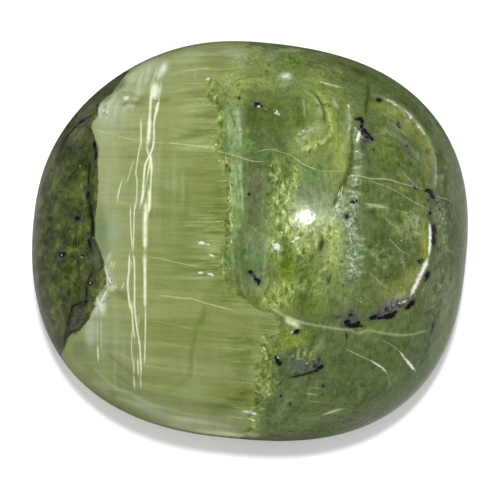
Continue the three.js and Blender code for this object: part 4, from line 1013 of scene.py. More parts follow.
growth_marks("smoke", [(4.5, 4.3, 0.3, 0.5, 0.6, 14), (4.84, 4.08, 0.28, 0.2, 0.5, -30),
    (4.08, -3.16, 0.36, 0.24, 0.5), (3.36, -3.08, 0.16, 0.2, 0.4), (5.2, -2.96, 0.64, 0.24, 0.7, 16),
    (5.7, -2.6, 0.5, 0.3, 0.6, 25), (6.08, -2.44, 0.36, 0.2, 0.65, 30), (7.44, 0.84, 0.16, 0.24, 0.5),
    (7.24, 1.48, 0.2, 0.24, 0.45), (7.3, 1.8, 0.3, 0.3, 0.6, -45), (7.2, 1.16, 0.16, 0.24, 0.5),
    (6, 4.68, 0.16, 0.24, 0.5), (6.2, 3.8, 0.5, 0.3, 0.35, -20), (6.5, 2.2, 0.4, 0.3, 0.4),
    (6.6, 1.44, 0.32, 0.2, 0.35), (3.88, 0.96, 0.16, 0.24, 0.6), (4.12, 1.52, 0.2, 0.16, 0.5),
    (2.12, -5.04, 0.68, 0.24, 0.55, 10), (2.64, -4.92, 0.32, 0.2, 0.5, 20), (1.6, -4.96, 0.24, 0.2, 0.3),
    (0.08, -1.32, 0.2, 0.24, 0.5, -35), (0.32, -1.64, 0.16, 0.24, 0.5, 10),
    (-6.88, -3.08, 0.24, 0.56, 0.5, -22), (-6.2, -0.8, 0.3, 0.4, 0.3), (-6.64, -2.48, 0.16, 0.32, 0.4),
    (-6.44, -0.12, 0.16, 0.48, 0.45), (7.08, -1.44, 0.16, 0.32, 0.5, -20),
    (6.48, -2.44, 0.32, 0.2, 0.6, 38), (7.36, 0.36, 0.12, 0.4, 0.6), (7.4, -3.36, 0.12, 0.36, 0.5, -15),
    (0.28, 5.44, 0.24, 0.16, 0.6, -20), (-6.72, 4.84, 0.48, 0.16, 0.5, 28),
    (-7.08, 4.36, 0.24, 0.12, 0.4, 30), (-6.92, 3.72, 0.24, 0.32, 0.3), (3.12, -1.56, 0.12, 0.24, 0.3),
    (1.4, -4.44, 0.16, 0.16, 0.4), (7.84, -1.76, 0.12, 0.24, 0.3), (-7.12, -3.64, 0.24, 0.24, 0.4),
    (-7.52, -0.52, 0.2, 0.2, 0.4), (1.12, -4.8, 0.12, 0.24, 0.5, 35), (7.2, 2.52, 0.16, 0.32, 0.2)])

# %% [markdown]
# ## The sharp border
# Most parts of the stone run into one another, but the dark side ends at a crisp, ragged edge. Its two
# coats lie over each other, and every place gets its distance in mm to the edge. A distance stays sharp
# between the points of the mesh, where paint would go soft, and the shader can fray it with a noise.

# %% Distance to the dark side's edge
marks["dark_side_depth"] = depth_in([-5.6, 7.24, -4.88, 7, -5.12, 6.6, -5.32, 6.24, -5.48, 5.96,
    -5.76, 5.76, -6, 5.52, -6.08, 5.32, -6.08, 5, -6.28, 4.8, -6.36, 4.56, -6.24, 4.24, -6.16, 3.96,
    -6.12, 3.4, -6.08, 2.84, -6.08, 2.04, -6.12, 1.4, -6.24, 0.76, -6.2, 0.12, -6, -0.36, -5.84, -0.84,
    -5.76, -1.36, -5.76, -1.72, -5.96, -1.96, -6.16, -2.32, -6.2, -2.64, -6.36, -2.88, -6.44, -3.16,
    -6.68, -3.4, -6.8, -3.6, -7.12, -3.68, -7.32, -3.92, -7.44, -4.28, -8.4, -5.56, -10, -2.36, -10, 4.84,
    -7.6, 7.64])
marks["panel_depth"] = np.clip(panel_depth, -4, 4)
marks["panel_coat"] = panel.colour
marks["field_coat"] = field.colour
marks["moss_coat"] = moss.colour

# %% [markdown]
# ## Lines
# Healed cracks, strands of cream fibre and hairline veins cross the stone. Each is drawn as a few
# points with a curve through them. Strands that cross are in different families, because a place only
# knows the nearest line of each family.

# %% Cream strands
line_marks("strand_a", [
    (0.05, 1.0, [-3.92, 6.28, -3.94, 5.88, -3.98, 5.52, -4.06, 3.8]),
    (0.03, 0.85, [-4.1, 4.2, -4.13, 3.72, -3.94, 3.08, -3.96, 2.44, -4.02, 1.08]),
    (0.085, 1.0, [-4.13, 1.68, -4.19, 0.84, -4.2, -0.44]),
    (0.055, 1.0, [-4.21, -0.44, -4.2, -2.76]), (0.026, 0.85, [-4.2, -2.36, -4.18, -3.24, -4.22, -5]),
    (0.024, 0.8, [-4.77, 1.52, -4.78, 0.76, -4.7, -0.48]),
    (0.034, 0.95, [-4.82, -0.44, -4.84, -1.16, -4.89, -1.8, -4.78, -2.88]),
    (0.03, 0.9, [-4.61, -2.36, -4.58, -3.08, -4.41, -4.2, -4.38, -4.92]),
    (0.03, 0.6, [-4.66, -4.6, -4.64, -5.48]), (0.03, 0.75, [-4.66, -5.28, -4.61, -6]),
    (0.024, 0.6, [-5.84, -0.92, -5.76, -1.24, -5.52, -1.76]), (0.022, 0.35, [-5.96, -3, -5.94, -4.48]),
    (0.022, 0.5, [-5.32, -0.68, -5.44, -0.92, -5.52, -1.2]), (0.09, 0.45, [-3.36, 7.24, -3.68, 6.44]),
    (0.014, 0.7, [3.62, 2.12, 3.54, 1.88, 3.5, 1.68]), (0.014, 0.6, [3.4, 1.44, 3.34, 1.16]),
])
line_marks("strand_b", [
    (0.036, 1.0, [-3.65, 5.64, -3.83, 4.8, -3.84, 4.28, -3.87, 3.84, -3.96, 3.54, -4.16, 3.12, -4.22, 2.84,
        -4.3, 1.84, -4.41, 1.28]),
    (0.024, 0.5, [-4.64, 3.32, -4.96, 2.2]), (0.026, 0.8, [-5.08, 2.56, -5.24, 2, -5.34, 1.48]),
    (0.024, 0.8, [-4.62, 1.56, -4.67, -0.48]), (0.028, 0.9, [-4.68, -0.4, -4.62, -1.08, -4.62, -2.92]),
    (0.022, 0.6, [-4.68, -3.24, -4.74, -4.12, -4.68, -5]), (0.034, 0.9, [-4.4, -4.48, -4.36, -5.04,
        -4.38, -5.56]),
    (0.024, 0.75, [-4.38, -5.16, -4.36, -5.96]), (0.022, 0.35, [-6.1, -3, -6.1, -4.2]), (0.03, 0.8, [
        -6.1, -4.04, -6.06, -4.92]),
    (0.022, 0.6, [-5.02, -1.6, -5.17, -2]), (0.022, 0.5, [-5.48, -0.72, -5.64, -1.16]),
    (0.03, 0.5, [-5.6, -1.8, -5.8, -2.12, -5.96, -2.52, -6.04, -2.92]),
])
line_marks("strand_c", [
    (0.08, 1.0, [-3.78, 6.24, -3.82, 5.96, -3.92, 5.68]), (0.05, 1.0, [-3.62, 5.76, -3.8, 4.92]),
    (0.07, 0.9, [-4, 5.08, -4.07, 3.8]), (0.05, 1.0, [-3.98, 3.64, -3.94, 2.64]),
    (0.06, 1.0, [-4.05, 2.2, -4.02, 1.64, -4.09, 1]), (0.024, 0.7, [-4.37, 4.04, -4.56, 2.8, -4.52, 2.44,
        -4.54, 1.68, -4.64, 1.08]),
    (0.03, 0.9, [-4.8, -2.28, -4.71, -2.92, -4.69, -3.32, -4.6, -4.04]), (0.03, 0.8, [-4.5, -4.56,
        -4.46, -5.52]),
    (0.02, 0.5, [-4.74, -0.68, -4.76, -1.32]), (0.02, 0.5, [-4.46, -3, -4.44, -3.4]), (0.022, 0.5, [
        -5.76, -1.96, -6.16, -2.8]),
    (0.03, 0.35, [-3.92, 7.24, -4.36, 6.12]), (0.03, 0.4, [-3.68, 7.12, -3.92, 6.28]), (0.04, 0.4, [
        -3.54, 6.44, -3.58, 5.92]),
    (0.014, 0.8, [3.74, 2.24, 3.66, 2, 3.6, 1.72]), (0.014, 0.7, [3.54, 1.52, 3.42, 1.08]),
])
line_marks("strand_d", [(0.03, 0.9, [-3.98, 3.4, -4.1, 2.64, -4.38, 1.36]), (0.028, 0.9, [-4.36, 5,
    -4.36, 3.64])])
line_marks("strand_gap", [
    (0.03, 0.7, [-3.82, 5.72, -3.88, 5.32, -3.92, 4.52]), (0.026, 0.85, [-4.03, 3.28, -4.12, 2.92,
        -4.16, 2.4, -4.26, 1.92]),
    (0.05, 0.6, [-3.92, 5.58, -3.44, 5.6]), (0.03, 0.5, [-4.16, 4, -3.84, 3.98]), (0.03, 0.5, [-4.32, -0.48,
        -4.08, -0.48]),
    (0.024, 0.5, [-4.32, 0.6, -4.32, -1.24, -4.28, -2.04]), (0.024, 0.5, [-4.75, -0.84, -4.72, -2.28]),
    (0.024, 0.4, [-3.89, 2.76, -3.9, 1.8]), (0.024, 0.5, [-4.1, 1.8, -4.12, 1.16]),
])

# %% Veins
line_marks("vein", [
    (0.02, 0.7, [-6.4, 4.52, -4.8, 4.08, -4, 3.96, -3.12, 3.9]),
    (0.024, 1.0, [-3.44, 3.94, -2.8, 3.88, -1.68, 3.74, -1.4, 3.6]), (0.02, 0.8, [-1.48, 3.62, -0.8, 3.48,
        0.08, 3.2, 0.64, 3.18]),
    (0.018, 0.65, [0.12, 3.52, 0.8, 3.68, 1.2, 3.56, 1.52, 3.48, 1.8, 3.32]),
    (0.024, 0.9, [1.6, 3.44, 1.8, 3.32, 2.12, 3.08, 2.8, 2.8]),
    (0.016, 0.8, [2.72, 2.8, 3.68, 2.8, 3.92, 2.72]),
    (0.019, 0.9, [3.84, 2.6, 4.4, 2.6, 4.84, 2.5, 5.52, 2.47, 6, 2.32, 7.04, 2.06]),
    (0.016, 0.7, [4.72, 2.42, 5.36, 2.21, 6, 1.92, 6.52, 1.58, 7.28, 1.2]),
    (0.022, 0.6, [7.28, 1.92, 7.56, 1.76, 7.92, 1.66, 8.2, 1.52]),
    (0.03, 0.9, [-3.76, -2.18, -3.2, -2.22, -2.8, -2.28, -2.32, -2.32, -1.64, -2.52, -0.56, -2.8]),
    (0.055, 0.55, [0.64, -2.62, 1.04, -2.78, 1.36, -2.98, 2.16, -3.28, 3.44, -3.5, 3.96, -3.56,
        4.36, -3.7]),
    (0.05, 0.5, [3.96, -3.6, 4.36, -3.68, 4.76, -3.58, 5.24, -3.66, 5.76, -3.74, 6.4, -3.75, 6.84, -3.64,
        7.2, -3.58]),
    (0.02, 0.8, [-4.2, -0.66, -3.6, -0.7, -3.12, -0.82, -2, -1.04]),
    (0.018, 0.35, [-2.76, 0.66, -2.4, 0.6, -2, 0.68]), (0.018, 0.3, [-5.84, -1.8, -5.28, -2.12,
        -4.64, -2.24, -4, -2.16]),
    (0.022, 0.75, [3.76, -4.28, 4.92, -4.84]), (0.02, 0.5, [5.2, -3.96, 5.52, -4.08, 6.08, -4.44]),
    (0.016, 0.4, [5.52, -5.4, 5.6, -5.72, 5.72, -5.88]),
    (0.045, 1.2, [2.8, -7, 3.44, -6.78, 3.84, -6.68]), (0.05, 1.1, [-0.44, -6.78, 0.36, -6.94]), (0.03, 0.6, [
        2.12, -6.08, 2.44, -6.12, 2.76, -6.2]), (0.024, 0.4, [2.24, -6.4, 2.64, -6.44, 3.12, -6.44]),
    (0.05, 0.7, [4.48, 1.52, 5.68, 1.3]), (0.026, 0.5, [5.68, 1.28, 6.4, 1.1]), (0.016, 0.5, [6, 2.92,
        6.24, 2.6, 6.48, 2.36, 6.76, 2.16]), (0.016, 0.4, [5.28, 1.08, 5.6, 0.72, 5.88, 0.56, 6.16, 0.36]),
    (0.018, 0.5, [5.52, 0.2, 5.84, -0.2, 6.08, -0.4, 6.4, -0.56]), (0.018, 0.45, [-0.16, 3.94, 0.08, 3.9,
        0.4, 4.04]),
    (0.035, 1.2, [2.68, 6.44, 2.96, 6.32, 3.72, 6.12]), (0.016, 0.4, [4.64, -1.16, 5.6, -2]),
    (0.018, 0.5, [0.48, 5.4, 0.8, 5.16]), (0.022, 0.6, [-2.72, 6.76, -2.2, 6.86, -1.44, 6.9]),
    (0.022, 0.4, [-5.68, 5.76, -5.28, 5.88, -4.88, 5.88]), (0.018, 0.4, [-5.32, 1.68, -5.04, 1.52,
        -4.72, 1.48]),
    (0.016, 0.4, [-4.16, -3.16, -3.2, -3.32, -2.16, -3.56]), (0.016, 0.35, [-4, -3.96, -2, -4.36]),
    (0.02, 0.5, [2.24, -5.88, 2.64, -5.88, 2.96, -6]), 
])
line_marks("pocket_rim", [
    (0.05, 0.45, [5.36, 5.72, 5.72, 5.54, 6.04, 5.34]), (0.05, 0.5, [6.16, 5.26, 6.36, 5.08, 6.56, 4.82]),
    (0.05, 0.5, [6.6, 4.8, 7.04, 4.24]), (0.025, 0.3, [7.36, 3.64, 7.44, 3, 7.4, 2.04]),
    (0.05, 1.3, [7.14, 0.8, 7.2, 0.48, 7.18, -0.36, 7.12, -0.68]),
    (0.066, 1.35, [7.14, -0.6, 7.04, -0.88, 6.4, -2.24]),
    (0.05, 0.9, [6.8, -1.32, 6.6, -1.8, 6.4, -2.16]), (0.03, 0.4, [6.36, -2.32, 6.16, -2.44, 5.96, -2.52]),
    (0.05, 1.0, [4.42, 4.44, 4.26, 3.92]), (0.034, 0.8, [4.72, -4.72, 5.32, -5.1, 5.52, -5.4]), (0.034, 0.9, [
        5.92, -4.34, 6.48, -5.08]), (0.046, 1.1, [6.16, -4.64, 6.66, -5.26]),
])

# %% Dark lines
line_marks("crack", [
    (0.05, 1.0, [-7.64, 3.52, -7.56, 3.8, -7.4, 4.12, -7.2, 4.38, -6.76, 4.78, -6.12, 5.14]),
    (0.07, 0.9, [-6.96, 4.64, -6.72, 4.8, -6.48, 4.9]),
    (0.09, 1.0, [-6.24, 4.08, -6.22, 3.88, -6.16, 3.68, -6.13, 3.16]),
    (0.055, 0.95, [-6.36, 3.32, -6.42, 3, -6.48, 1.96]),
    (0.11, 1.0, [-6.49, 2.28, -6.4, 1.16]), (0.08, 1.1, [-6.44, 1.72, -6.3, 0.76, -6.28, 0.36, -6.4, 0,
        -6.42, -0.36]),
    (0.1, 0.9, [-6.4, 0.24, -6.44, -0.08, -6.36, -0.32, -6.28, -0.68]),
    (0.06, 0.95, [-6.28, -1, -6.36, -1.36, -6.52, -1.64, -6.54, -1.96, -6.54, -2.32, -6.8, -2.5,
        -7.08, -2.6, -7.16, -2.84, -7.4, -3.88, -7.44, -4.36]),
    (0.09, 0.9, [-6.52, -2.04, -6.58, -2.44, -6.8, -2.8]), (0.09, 0.7, [-7.32, -3.4, -7.42, -4.28]),
    (0.07, 0.9, [-6.8, -3.52, -7.08, -3.62, -7.36, -3.8]),
    (0.05, 1.0, [7.34, 0.6, 7.38, 0.36, 7.35, 0.04, 7.28, -0.2]),
    (0.06, 1.0, [1.48, -5.5, 2.56, -5.22, 3.04, -5]),
    (0.05, 0.8, [7.24, -1.16, 7.04, -1.6]), (0.04, 0.9, [3.86, -3.64, 3.86, -3.88, 3.82, -4]),
    (0.045, 0.4, [4.72, 6.28, 4.72, 5.76, 4.64, 5.4, 4.58, 4.92]), (0.05, 0.7, [7.4, -3.16, 7.2, -3.88]), (0.036, 0.7, [
        3.28, -1.24, 3.08, -1.84]), (0.1, 0.62, [2.92, 0.08, 2.82, -0.36]), (0.06, 0.6, [2.72, -0.24,
            2.84, -0.4]),
    (0.05, 0.6, [7.2, -3.88, 7.12, -4.2, 6.96, -4.6]),
    (0.02, 0.45, [-1.12, 3.48, -0.72, 3.34, -0.32, 3.24]), (0.02, 0.45, [4.88, 2.4, 5.52, 2.38, 6, 2.24]),
    (0.02, 0.45, [1.84, 3.22, 2.16, 2.98, 2.48, 2.82]), (0.022, 0.45, [7.44, 1.72, 7.84, 1.58, 8.24, 1.4]),
    (0.03, 0.35, [-8.8, 0.36, -8.72, -0.36, -8.76, -1.08]),
])

# %% [markdown]
# ## Spots
# Manganese left black dendrites and specks, and clear crystal left small white glints. They are ovals
# here, and the shader frays their edges.

# %% Spots
spot_marks("black_spot", [(0.3, 5.48, 0.15, 0.06, 1.1, -4), (0.46, 5.4, 0.06, 0.06, 0.9, 8),
    (0.22, 5.38, 0.06, 0.04, 0.6, 20), (-0.44, 5.72, 0.06, 0.06, 0.5), (-0.04, 1.88, 0.06, 0.06, 0.6),
    (0.02, -1.24, 0.14, 0.08, 1, -15), (0.18, -1.42, 0.1, 0.05, 0.9, -45),
    (0.32, -1.56, 0.14, 0.07, 1, -25), (0.34, -1.68, 0.06, 0.11, 1), (0.2, -1.52, 0.05, 0.05, 0.5),
    (4.24, 4.88, 0.1, 0.05, 1, -10), (4.48, 4.8, 0.08, 0.14, 1, 15), (4.46, 4.58, 0.08, 0.1, 1),
    (4.58, 4.44, 0.12, 0.06, 1, -45), (4.48, 4.32, 0.05, 0.14, 0.8, 10), (4.74, 4.26, 0.11, 0.06, 1, -38),
    (4.88, 4.08, 0.11, 0.07, 1, -28), (4.64, 4.16, 0.06, 0.06, 0.8), (5.16, 5.64, 0.13, 0.1, 1.1, -15),
    (4.4, 4.88, 0.14, 0.08, 1, 10), (4.64, 4.32, 0.08, 0.06, 0.9, -40), (4.8, 4.16, 0.08, 0.06, 0.9, -30),
    (5.92, 4.68, 0.05, 0.12, 0.5, 15), (6, 4.56, 0.04, 0.06, 0.5), (4.12, 1.56, 0.1, 0.06, 0.9, -15),
    (4.26, 1.62, 0.05, 0.06, 0.7, 20), (3.88, 0.98, 0.07, 0.11, 0.5, 10),
    (7.18, 1.98, 0.18, 0.1, 1.1, -40), (7.3, 1.78, 0.14, 0.09, 1.1, -50),
    (7.06, 2.02, 0.1, 0.06, 0.8, 20), (7.48, 1.52, 0.06, 0.04, 0.5), (7.6, 1.28, 0.05, 0.05, 0.5),
    (7.2, 1.1, 0.06, 0.09, 0.9), (7.35, 0.44, 0.12, 0.24, 1.2), (7.32, 0.04, 0.12, 0.28, 1.2, 4),
    (6.82, -0.82, 0.14, 0.11, 0.6), (7.1, -1.36, 0.1, 0.17, 1.1, -25),
    (7.02, -1.56, 0.05, 0.08, 0.7, -20), (6.46, -2.5, 0.22, 0.1, 1.1, 42),
    (6.32, -2.66, 0.12, 0.08, 0.9, 30), (4.94, -3.06, 0.2, 0.1, 1.1, 20), (5.2, -3.08, 0.14, 0.07, 0.9),
    (5.56, -3, 0.28, 0.13, 1.1, 12), (5.8, -2.86, 0.12, 0.08, 0.9, 40), (4.12, -3.38, 0.42, 0.1, 1.2, -3),
    (3.88, -3.24, 0.16, 0.1, 0.9, 25), (4.32, -3.26, 0.12, 0.08, 0.8, -20),
    (4.12, -2.96, 0.06, 0.05, 0.4), (4.04, -2.96, 0.1, 0.1, 0.6), (3.86, -3.8, 0.04, 0.14, 0.9),
    (1.07, -4.74, 0.08, 0.15, 1.1, 30), (1.19, -4.9, 0.11, 0.1, 1.1, 30), (1.12, -4.82, 0.1, 0.12, 1, 35),
    (1.86, -3.63, 0.15, 0.09, 1, 20), (1.24, -6.2, 0.06, 0.06, 0.9), (1.6, -6.52, 0.07, 0.06, 0.6),
    (2.92, -5.78, 0.07, 0.06, 0.6), (3.68, -6, 0.04, 0.04, 0.4), (4.16, -6.88, 0.05, 0.03, 0.4),
    (2.82, -5.04, 0.18, 0.08, 1, 25), (2.64, -5.18, 0.12, 0.05, 0.9, 15), (2.76, -4.76, 0.05, 0.08, 0.4),
    (-6.89, 0.9, 0.14, 0.15, 0.6), (-7.52, -0.54, 0.17, 0.14, 0.7), (-6.4, -1.68, 0.14, 0.11, 0.8),
    (-6.68, -0.6, 0.09, 0.06, 0.5), (-6.42, -0.08, 0.07, 0.2, 0.7, 10), (-6.22, 3.84, 0.07, 0.28, 1.1, 4),
    (-6.16, 3.44, 0.06, 0.28, 1.1, -6), (-6.48, 1.84, 0.08, 0.2, 0.9), (7.32, -3.4, 0.05, 0.2, 0.6, -15),
    (-6.72, 4.82, 0.22, 0.06, 0.6, 30), (3.56, -3.04, 0.08, 0.05, 0.3), (7.08, 3.56, 0.04, 0.09, 0.4),
    (-6.56, -2.44, 0.06, 0.14, 0.4, -20), (3.12, -0.84, 0.04, 0.04, 0.4), (3.66, -0.82, 0.04, 0.04, 0.5),
    (3.1, -1.54, 0.04, 0.1, 0.5, 20), (3.72, -1.76, 0.04, 0.05, 0.5), (-7.6, 2.84, 0.04, 0.1, 0.3),
    (6.6, 2.12, 0.08, 0.04, 0.4, -30), (6.28, 3.8, 0.06, 0.04, 0.4, -20), (4.96, 3.64, 0.04, 0.08, 0.3)])
spot_marks("white_spot", [(0.34, 5.38, 0.09, 0.05, 1), (1.08, 5.18, 0.04, 0.13, 1, 5),
    (1.02, 5.1, 0.09, 0.04, 0.8, -30), (1.15, 5.06, 0.04, 0.08, 0.8, -30), (0.96, 5.26, 0.05, 0.03, 0.6),
    (0.84, 5.32, 0.04, 0.03, 0.5), (1.96, 4.3, 0.1, 0.05, 0.7, -30), (2.14, 4.4, 0.08, 0.04, 0.5, -30),
    (1.84, 4.12, 0.06, 0.04, 0.5), (1.44, 6.58, 0.16, 0.1, 0.45), (1.08, -0.24, 0.13, 0.19, 0.8),
    (0.92, -0.12, 0.06, 0.08, 0.5), (1.12, -0.44, 0.06, 0.08, 0.4), (-7.52, -0.56, 0.04, 0.08, 0.75),
    (-6.72, -0.64, 0.04, 0.04, 0.6), (-6.28, 0.12, 0.04, 0.04, 0.6), (-6.38, -1.68, 0.06, 0.05, 0.9),
    (-5.5, -1.66, 0.06, 0.04, 0.8, 25), (-5.66, -1.86, 0.04, 0.04, 0.4),
    (-5.62, -1.56, 0.04, 0.06, 0.5, 10), (4.12, 2.63, 0.14, 0.04, 0.5), (4.34, 4.32, 0.07, 0.14, 0.9, 14),
    (4.28, 4.04, 0.07, 0.13, 0.9, 10), (4.3, 3.58, 0.12, 0.04, 0.8, -8), (4.48, 4.16, 0.05, 0.1, 0.6, 20),
    (4.2, 4.52, 0.04, 0.08, 0.4), (5.52, 5.6, 0.1, 0.04, 0.5, -25), (5.8, 5.46, 0.1, 0.04, 0.6, -30),
    (6.42, 4.96, 0.07, 0.1, 0.8, -30), (6.76, 4.56, 0.06, 0.06, 0.6), (7.48, 2.6, 0.04, 0.06, 0.6),
    (6.98, 4.28, 0.04, 0.06, 0.5, 20), (3.7, 2.16, 0.03, 0.08, 0.4, -15), (3.38, 1.08, 0.05, 0.06, 0.4),
    (3.32, 0.88, 0.07, 0.06, 0.6), (-1.92, -0.08, 0.18, 0.07, 1, -10), (-1.66, -0.15, 0.1, 0.04, 0.7, -6),
    (-1.56, -0.56, 0.14, 0.07, 0.8, -18), (-1.98, -1.26, 0.16, 0.05, 0.9, -5),
    (-1.56, -1.34, 0.16, 0.06, 0.8, -12), (-1.66, 6.48, 0.11, 0.06, 0.9), (-1.28, 0.78, 0.08, 0.02, 0.6),
    (-1.36, 3.86, 0.06, 0.05, 0.7), (-1.22, 3.22, 0.06, 0.04, 0.7), (0.57, -4.3, 0.04, 0.1, 0.9, 32),
    (0.68, -4.56, 0.04, 0.04, 0.9), (0.42, -4.02, 0.03, 0.06, 0.6, 20), (1.12, -4.66, 0.04, 0.05, 0.7),
    (1.68, -3.64, 0.06, 0.06, 0.9), (1.44, -3.2, 0.06, 0.04, 0.6), (1.6, -3.26, 0.12, 0.04, 0.6, -15),
    (1.92, -3.42, 0.12, 0.04, 0.6, -30), (0.8, -2.54, 0.1, 0.03, 0.8, -22),
    (0.96, -2.68, 0.06, 0.03, 0.6, -40), (-0.12, -6.82, 0.22, 0.04, 1, -10),
    (0.16, -6.91, 0.14, 0.06, 1, -8), (0.02, -6.74, 0.06, 0.02, 0.5, -30),
    (0.04, -7.14, 0.12, 0.04, 0.8, -14), (0.16, -7.18, 0.05, 0.08, 0.7, -20),
    (6.06, 0.02, 0.04, 0.03, 0.9), (3.94, 5.4, 0.04, 0.08, 0.7), (3, 6.3, 0.09, 0.03, 0.7, -15),
    (2.84, 6.36, 0.04, 0.03, 0.6), (1.88, 0.12, 0.13, 0.06, 0.9, 30), (1.72, -0.02, 0.09, 0.05, 0.8, 20),
    (1.76, 0.74, 0.06, 0.05, 0.7), (-4.96, 5.72, 0.14, 0.1, 0.9, 10), (-3.84, 6.12, 0.08, 0.18, 0.9, -4),
    (-3.82, 5.84, 0.07, 0.16, 0.8, 6), (-3.7, 6.2, 0.05, 0.14, 0.5, 12),
    (-3.44, 6.92, 0.06, 0.12, 0.4, -15), (6.92, -1.96, 0.04, 0.04, 0.6),
    (6.18, -2.42, 0.06, 0.04, 0.8, 35), (5.96, -2.48, 0.05, 0.04, 0.6, 20), (5.28, 2.64, 0.04, 0.03, 0.5),
    (5.36, 2.28, 0.04, 0.03, 0.4), (7.08, 2.26, 0.04, 0.04, 0.6), (2.28, -4.88, 0.03, 0.06, 0.5),
    (3.6, -6, 0.03, 0.03, 0.5), (2.92, -6.98, 0.07, 0.03, 0.6, 25), (6.84, -0.82, 0.03, 0.03, 0.6),
    (4, 0.52, 0.03, 0.03, 0.5), (3.8, -0.84, 0.03, 0.03, 0.4), (4.4, -0.2, 0.03, 0.03, 0.4),
    (4.24, -0.52, 0.03, 0.04, 0.4), (-6.96, -0.36, 0.03, 0.04, 0.5), (-6.8, 3, 0.03, 0.05, 0.4),
    (2.24, -4.44, 0.03, 0.08, 0.5, -10), (-5.88, 5.24, 0.06, 0.1, 0.5, 20),
    (-5.68, 5.16, 0.06, 0.08, 0.4, -20), (5.28, -5.84, 0.03, 0.03, 0.5), (6.04, -4.96, 0.04, 0.03, 0.4),
    (3.88, 5.48, 0.03, 0.06, 0.5), (3.96, 4.52, 0.03, 0.07, 0.5), (6.48, -2.12, 0.03, 0.06, 0.5)])

# %% Marks onto the mesh
for name, values in marks.items():
    if values.ndim == 2:
        layer = mesh.attributes.new(name, "FLOAT_COLOR", "POINT")
        with_alpha = np.concatenate([values, np.ones((len(values), 1))], axis=1)
        layer.data.foreach_set("color", with_alpha.astype(np.float32).ravel())
    else:
        layer = mesh.attributes.new(name, "FLOAT", "POINT")
        layer.data.foreach_set("value", values.astype(np.float32))
print("marks on the mesh:", len(marks))

# %% [markdown]
# ## Shader sums
# A material is a sum of many small steps. One class wraps a socket, so that a sum in Python adds the
# nodes for it, and one method makes any other node.

# %% A socket that can be reckoned with


class Wire:
    """An output of a node. Sums with it add Math nodes."""

    def __init__(self, bench, socket):
        self.bench = bench
        self.socket = socket

    def math(self, operation, *others, clamp=False):
        inputs = dict(enumerate((self, *others)))
        return self.bench.node("ShaderNodeMath", {"operation": operation, "use_clamp": clamp}, inputs)

    def __add__(self, other):
        return self.math("ADD", other)

    def __sub__(self, other):
        return self.math("SUBTRACT", other)

    def __rsub__(self, other):
        return (self * -1) + other

    def __mul__(self, other):
        return self.math("MULTIPLY", other)

    def __truediv__(self, other):
        return self.math("DIVIDE", other)

    def __neg__(self):
        return self * -1

    __radd__ = __add__
    __rmul__ = __mul__

    def limit(self):
        return self.math("ADD", 0.0, clamp=True)

    def step(self, start, end):
        """0 before start and 1 after end, with a smooth rise between."""
        inputs = {"Value": self, "From Min": start, "From Max": end}
        return self.bench.node("ShaderNodeMapRange", {"interpolation_type": "SMOOTHSTEP"}, inputs)

    def bell(self):
        """exp(-v^2): 1 on a line and soft off it."""
        return (self * self * -1).math("EXPONENT")


class Bench:
    """The node tree of one material."""

    def __init__(self, name):
        self.material = bpy.data.materials.new(name)
        self.material.use_nodes = True
        self.tree = self.material.node_tree
        self.tree.nodes.clear()

    def node(self, kind, settings=None, inputs=None, output=0):
        """A node of the kind, with its settings made first and then its inputs set or linked."""
        made = self.tree.nodes.new(kind)
        for key, value in (settings or {}).items():
            setattr(made, key, value)
        for key, value in (inputs or {}).items():
            if isinstance(value, Wire):
                self.tree.links.new(value.socket, made.inputs[key])
            else:
                made.inputs[key].default_value = value
        return Wire(self, made.outputs[output])

    def mark(self, name):
        return self.node("ShaderNodeAttribute", {"attribute_name": name}, output="Fac")

    def coat(self, name):
        return self.node("ShaderNodeAttribute", {"attribute_name": name}, output="Color")

    def mix(self, below, above, cover, blend="MIX"):
        """One colour over another; 0, 6 and 7 are the Mix node's factor and its two colours."""
        inputs = {0: cover, 6: below, 7: above}
        return self.node("ShaderNodeMix", {"data_type": "RGBA", "blend_type": blend}, inputs, output=2)

    def tint(self, colour, amount):
        """A colour made lighter or darker by a factor."""
        return self.node("ShaderNodeVectorMath", {"operation": "SCALE"}, {"Vector": colour, "Scale": amount})

    def place(self, scale=(1, 1, 1), turn=(0, 0, 0), shift=(0, 0, 0)):
        """Places on the stone in mm, stretched, turned and shifted."""
        mapping = {"Vector": self.object_place, "Location": shift, "Rotation": turn}
        mapping["Scale"] = [axis / MM for axis in scale]
        return self.node("ShaderNodeMapping", {"vector_type": "POINT"}, mapping)

    def noise(self, where, scale, detail=2.0, rough=0.5, warp=0.0):
        """Noise from about -1 to 1, with scale in waves per mm."""
        inputs = {"Vector": where, "Scale": scale, "Detail": detail, "Roughness": rough, "Distortion": warp}
        return (self.node("ShaderNodeTexNoise", None, inputs) - 0.5) * 3.0


def paint(red, green, blue):
    """A tone from 0 to 255 as a colour socket's value."""
    return (*hue(red, green, blue), 1.0)


# %% [markdown]
# ## The opal's material
# The layers go on from the bottom: the two coats, each with its own grain, the moss and crystal that
# grew in them, then the lines and the spots. Everything is colour in a clear, glossy polish, so nothing
# is raised.

# %% Coats with their grain
stone = Bench("polished_opal")
stone.object_place = stone.node("ShaderNodeTexCoord", output="Object")
mm_place = stone.place()

middle_grain = stone.noise(mm_place, 4.0, 3, 0.6)
fine_grain = stone.noise(stone.place(shift=(7, 3, 0)), 12.0, 2, 0.7)
streaks = stone.noise(stone.place(scale=(1, 0.4, 1), turn=(0, 0, 0.12)), 7.0, 4, 0.7, 0.5)
frayed = stone.noise(stone.place(shift=(1, 9, 4)), 8.0, 3, 0.6)
cloud = stone.noise(stone.place(shift=(2, 5, 1)), 1.7, 4, 0.68, 0.6)

# Fibres: fine threads along the panel, and broad bands along and across it
along = stone.node("ShaderNodeSeparateXYZ", None, {0: mm_place})
fibre_height = stone.mark("fibre_height")


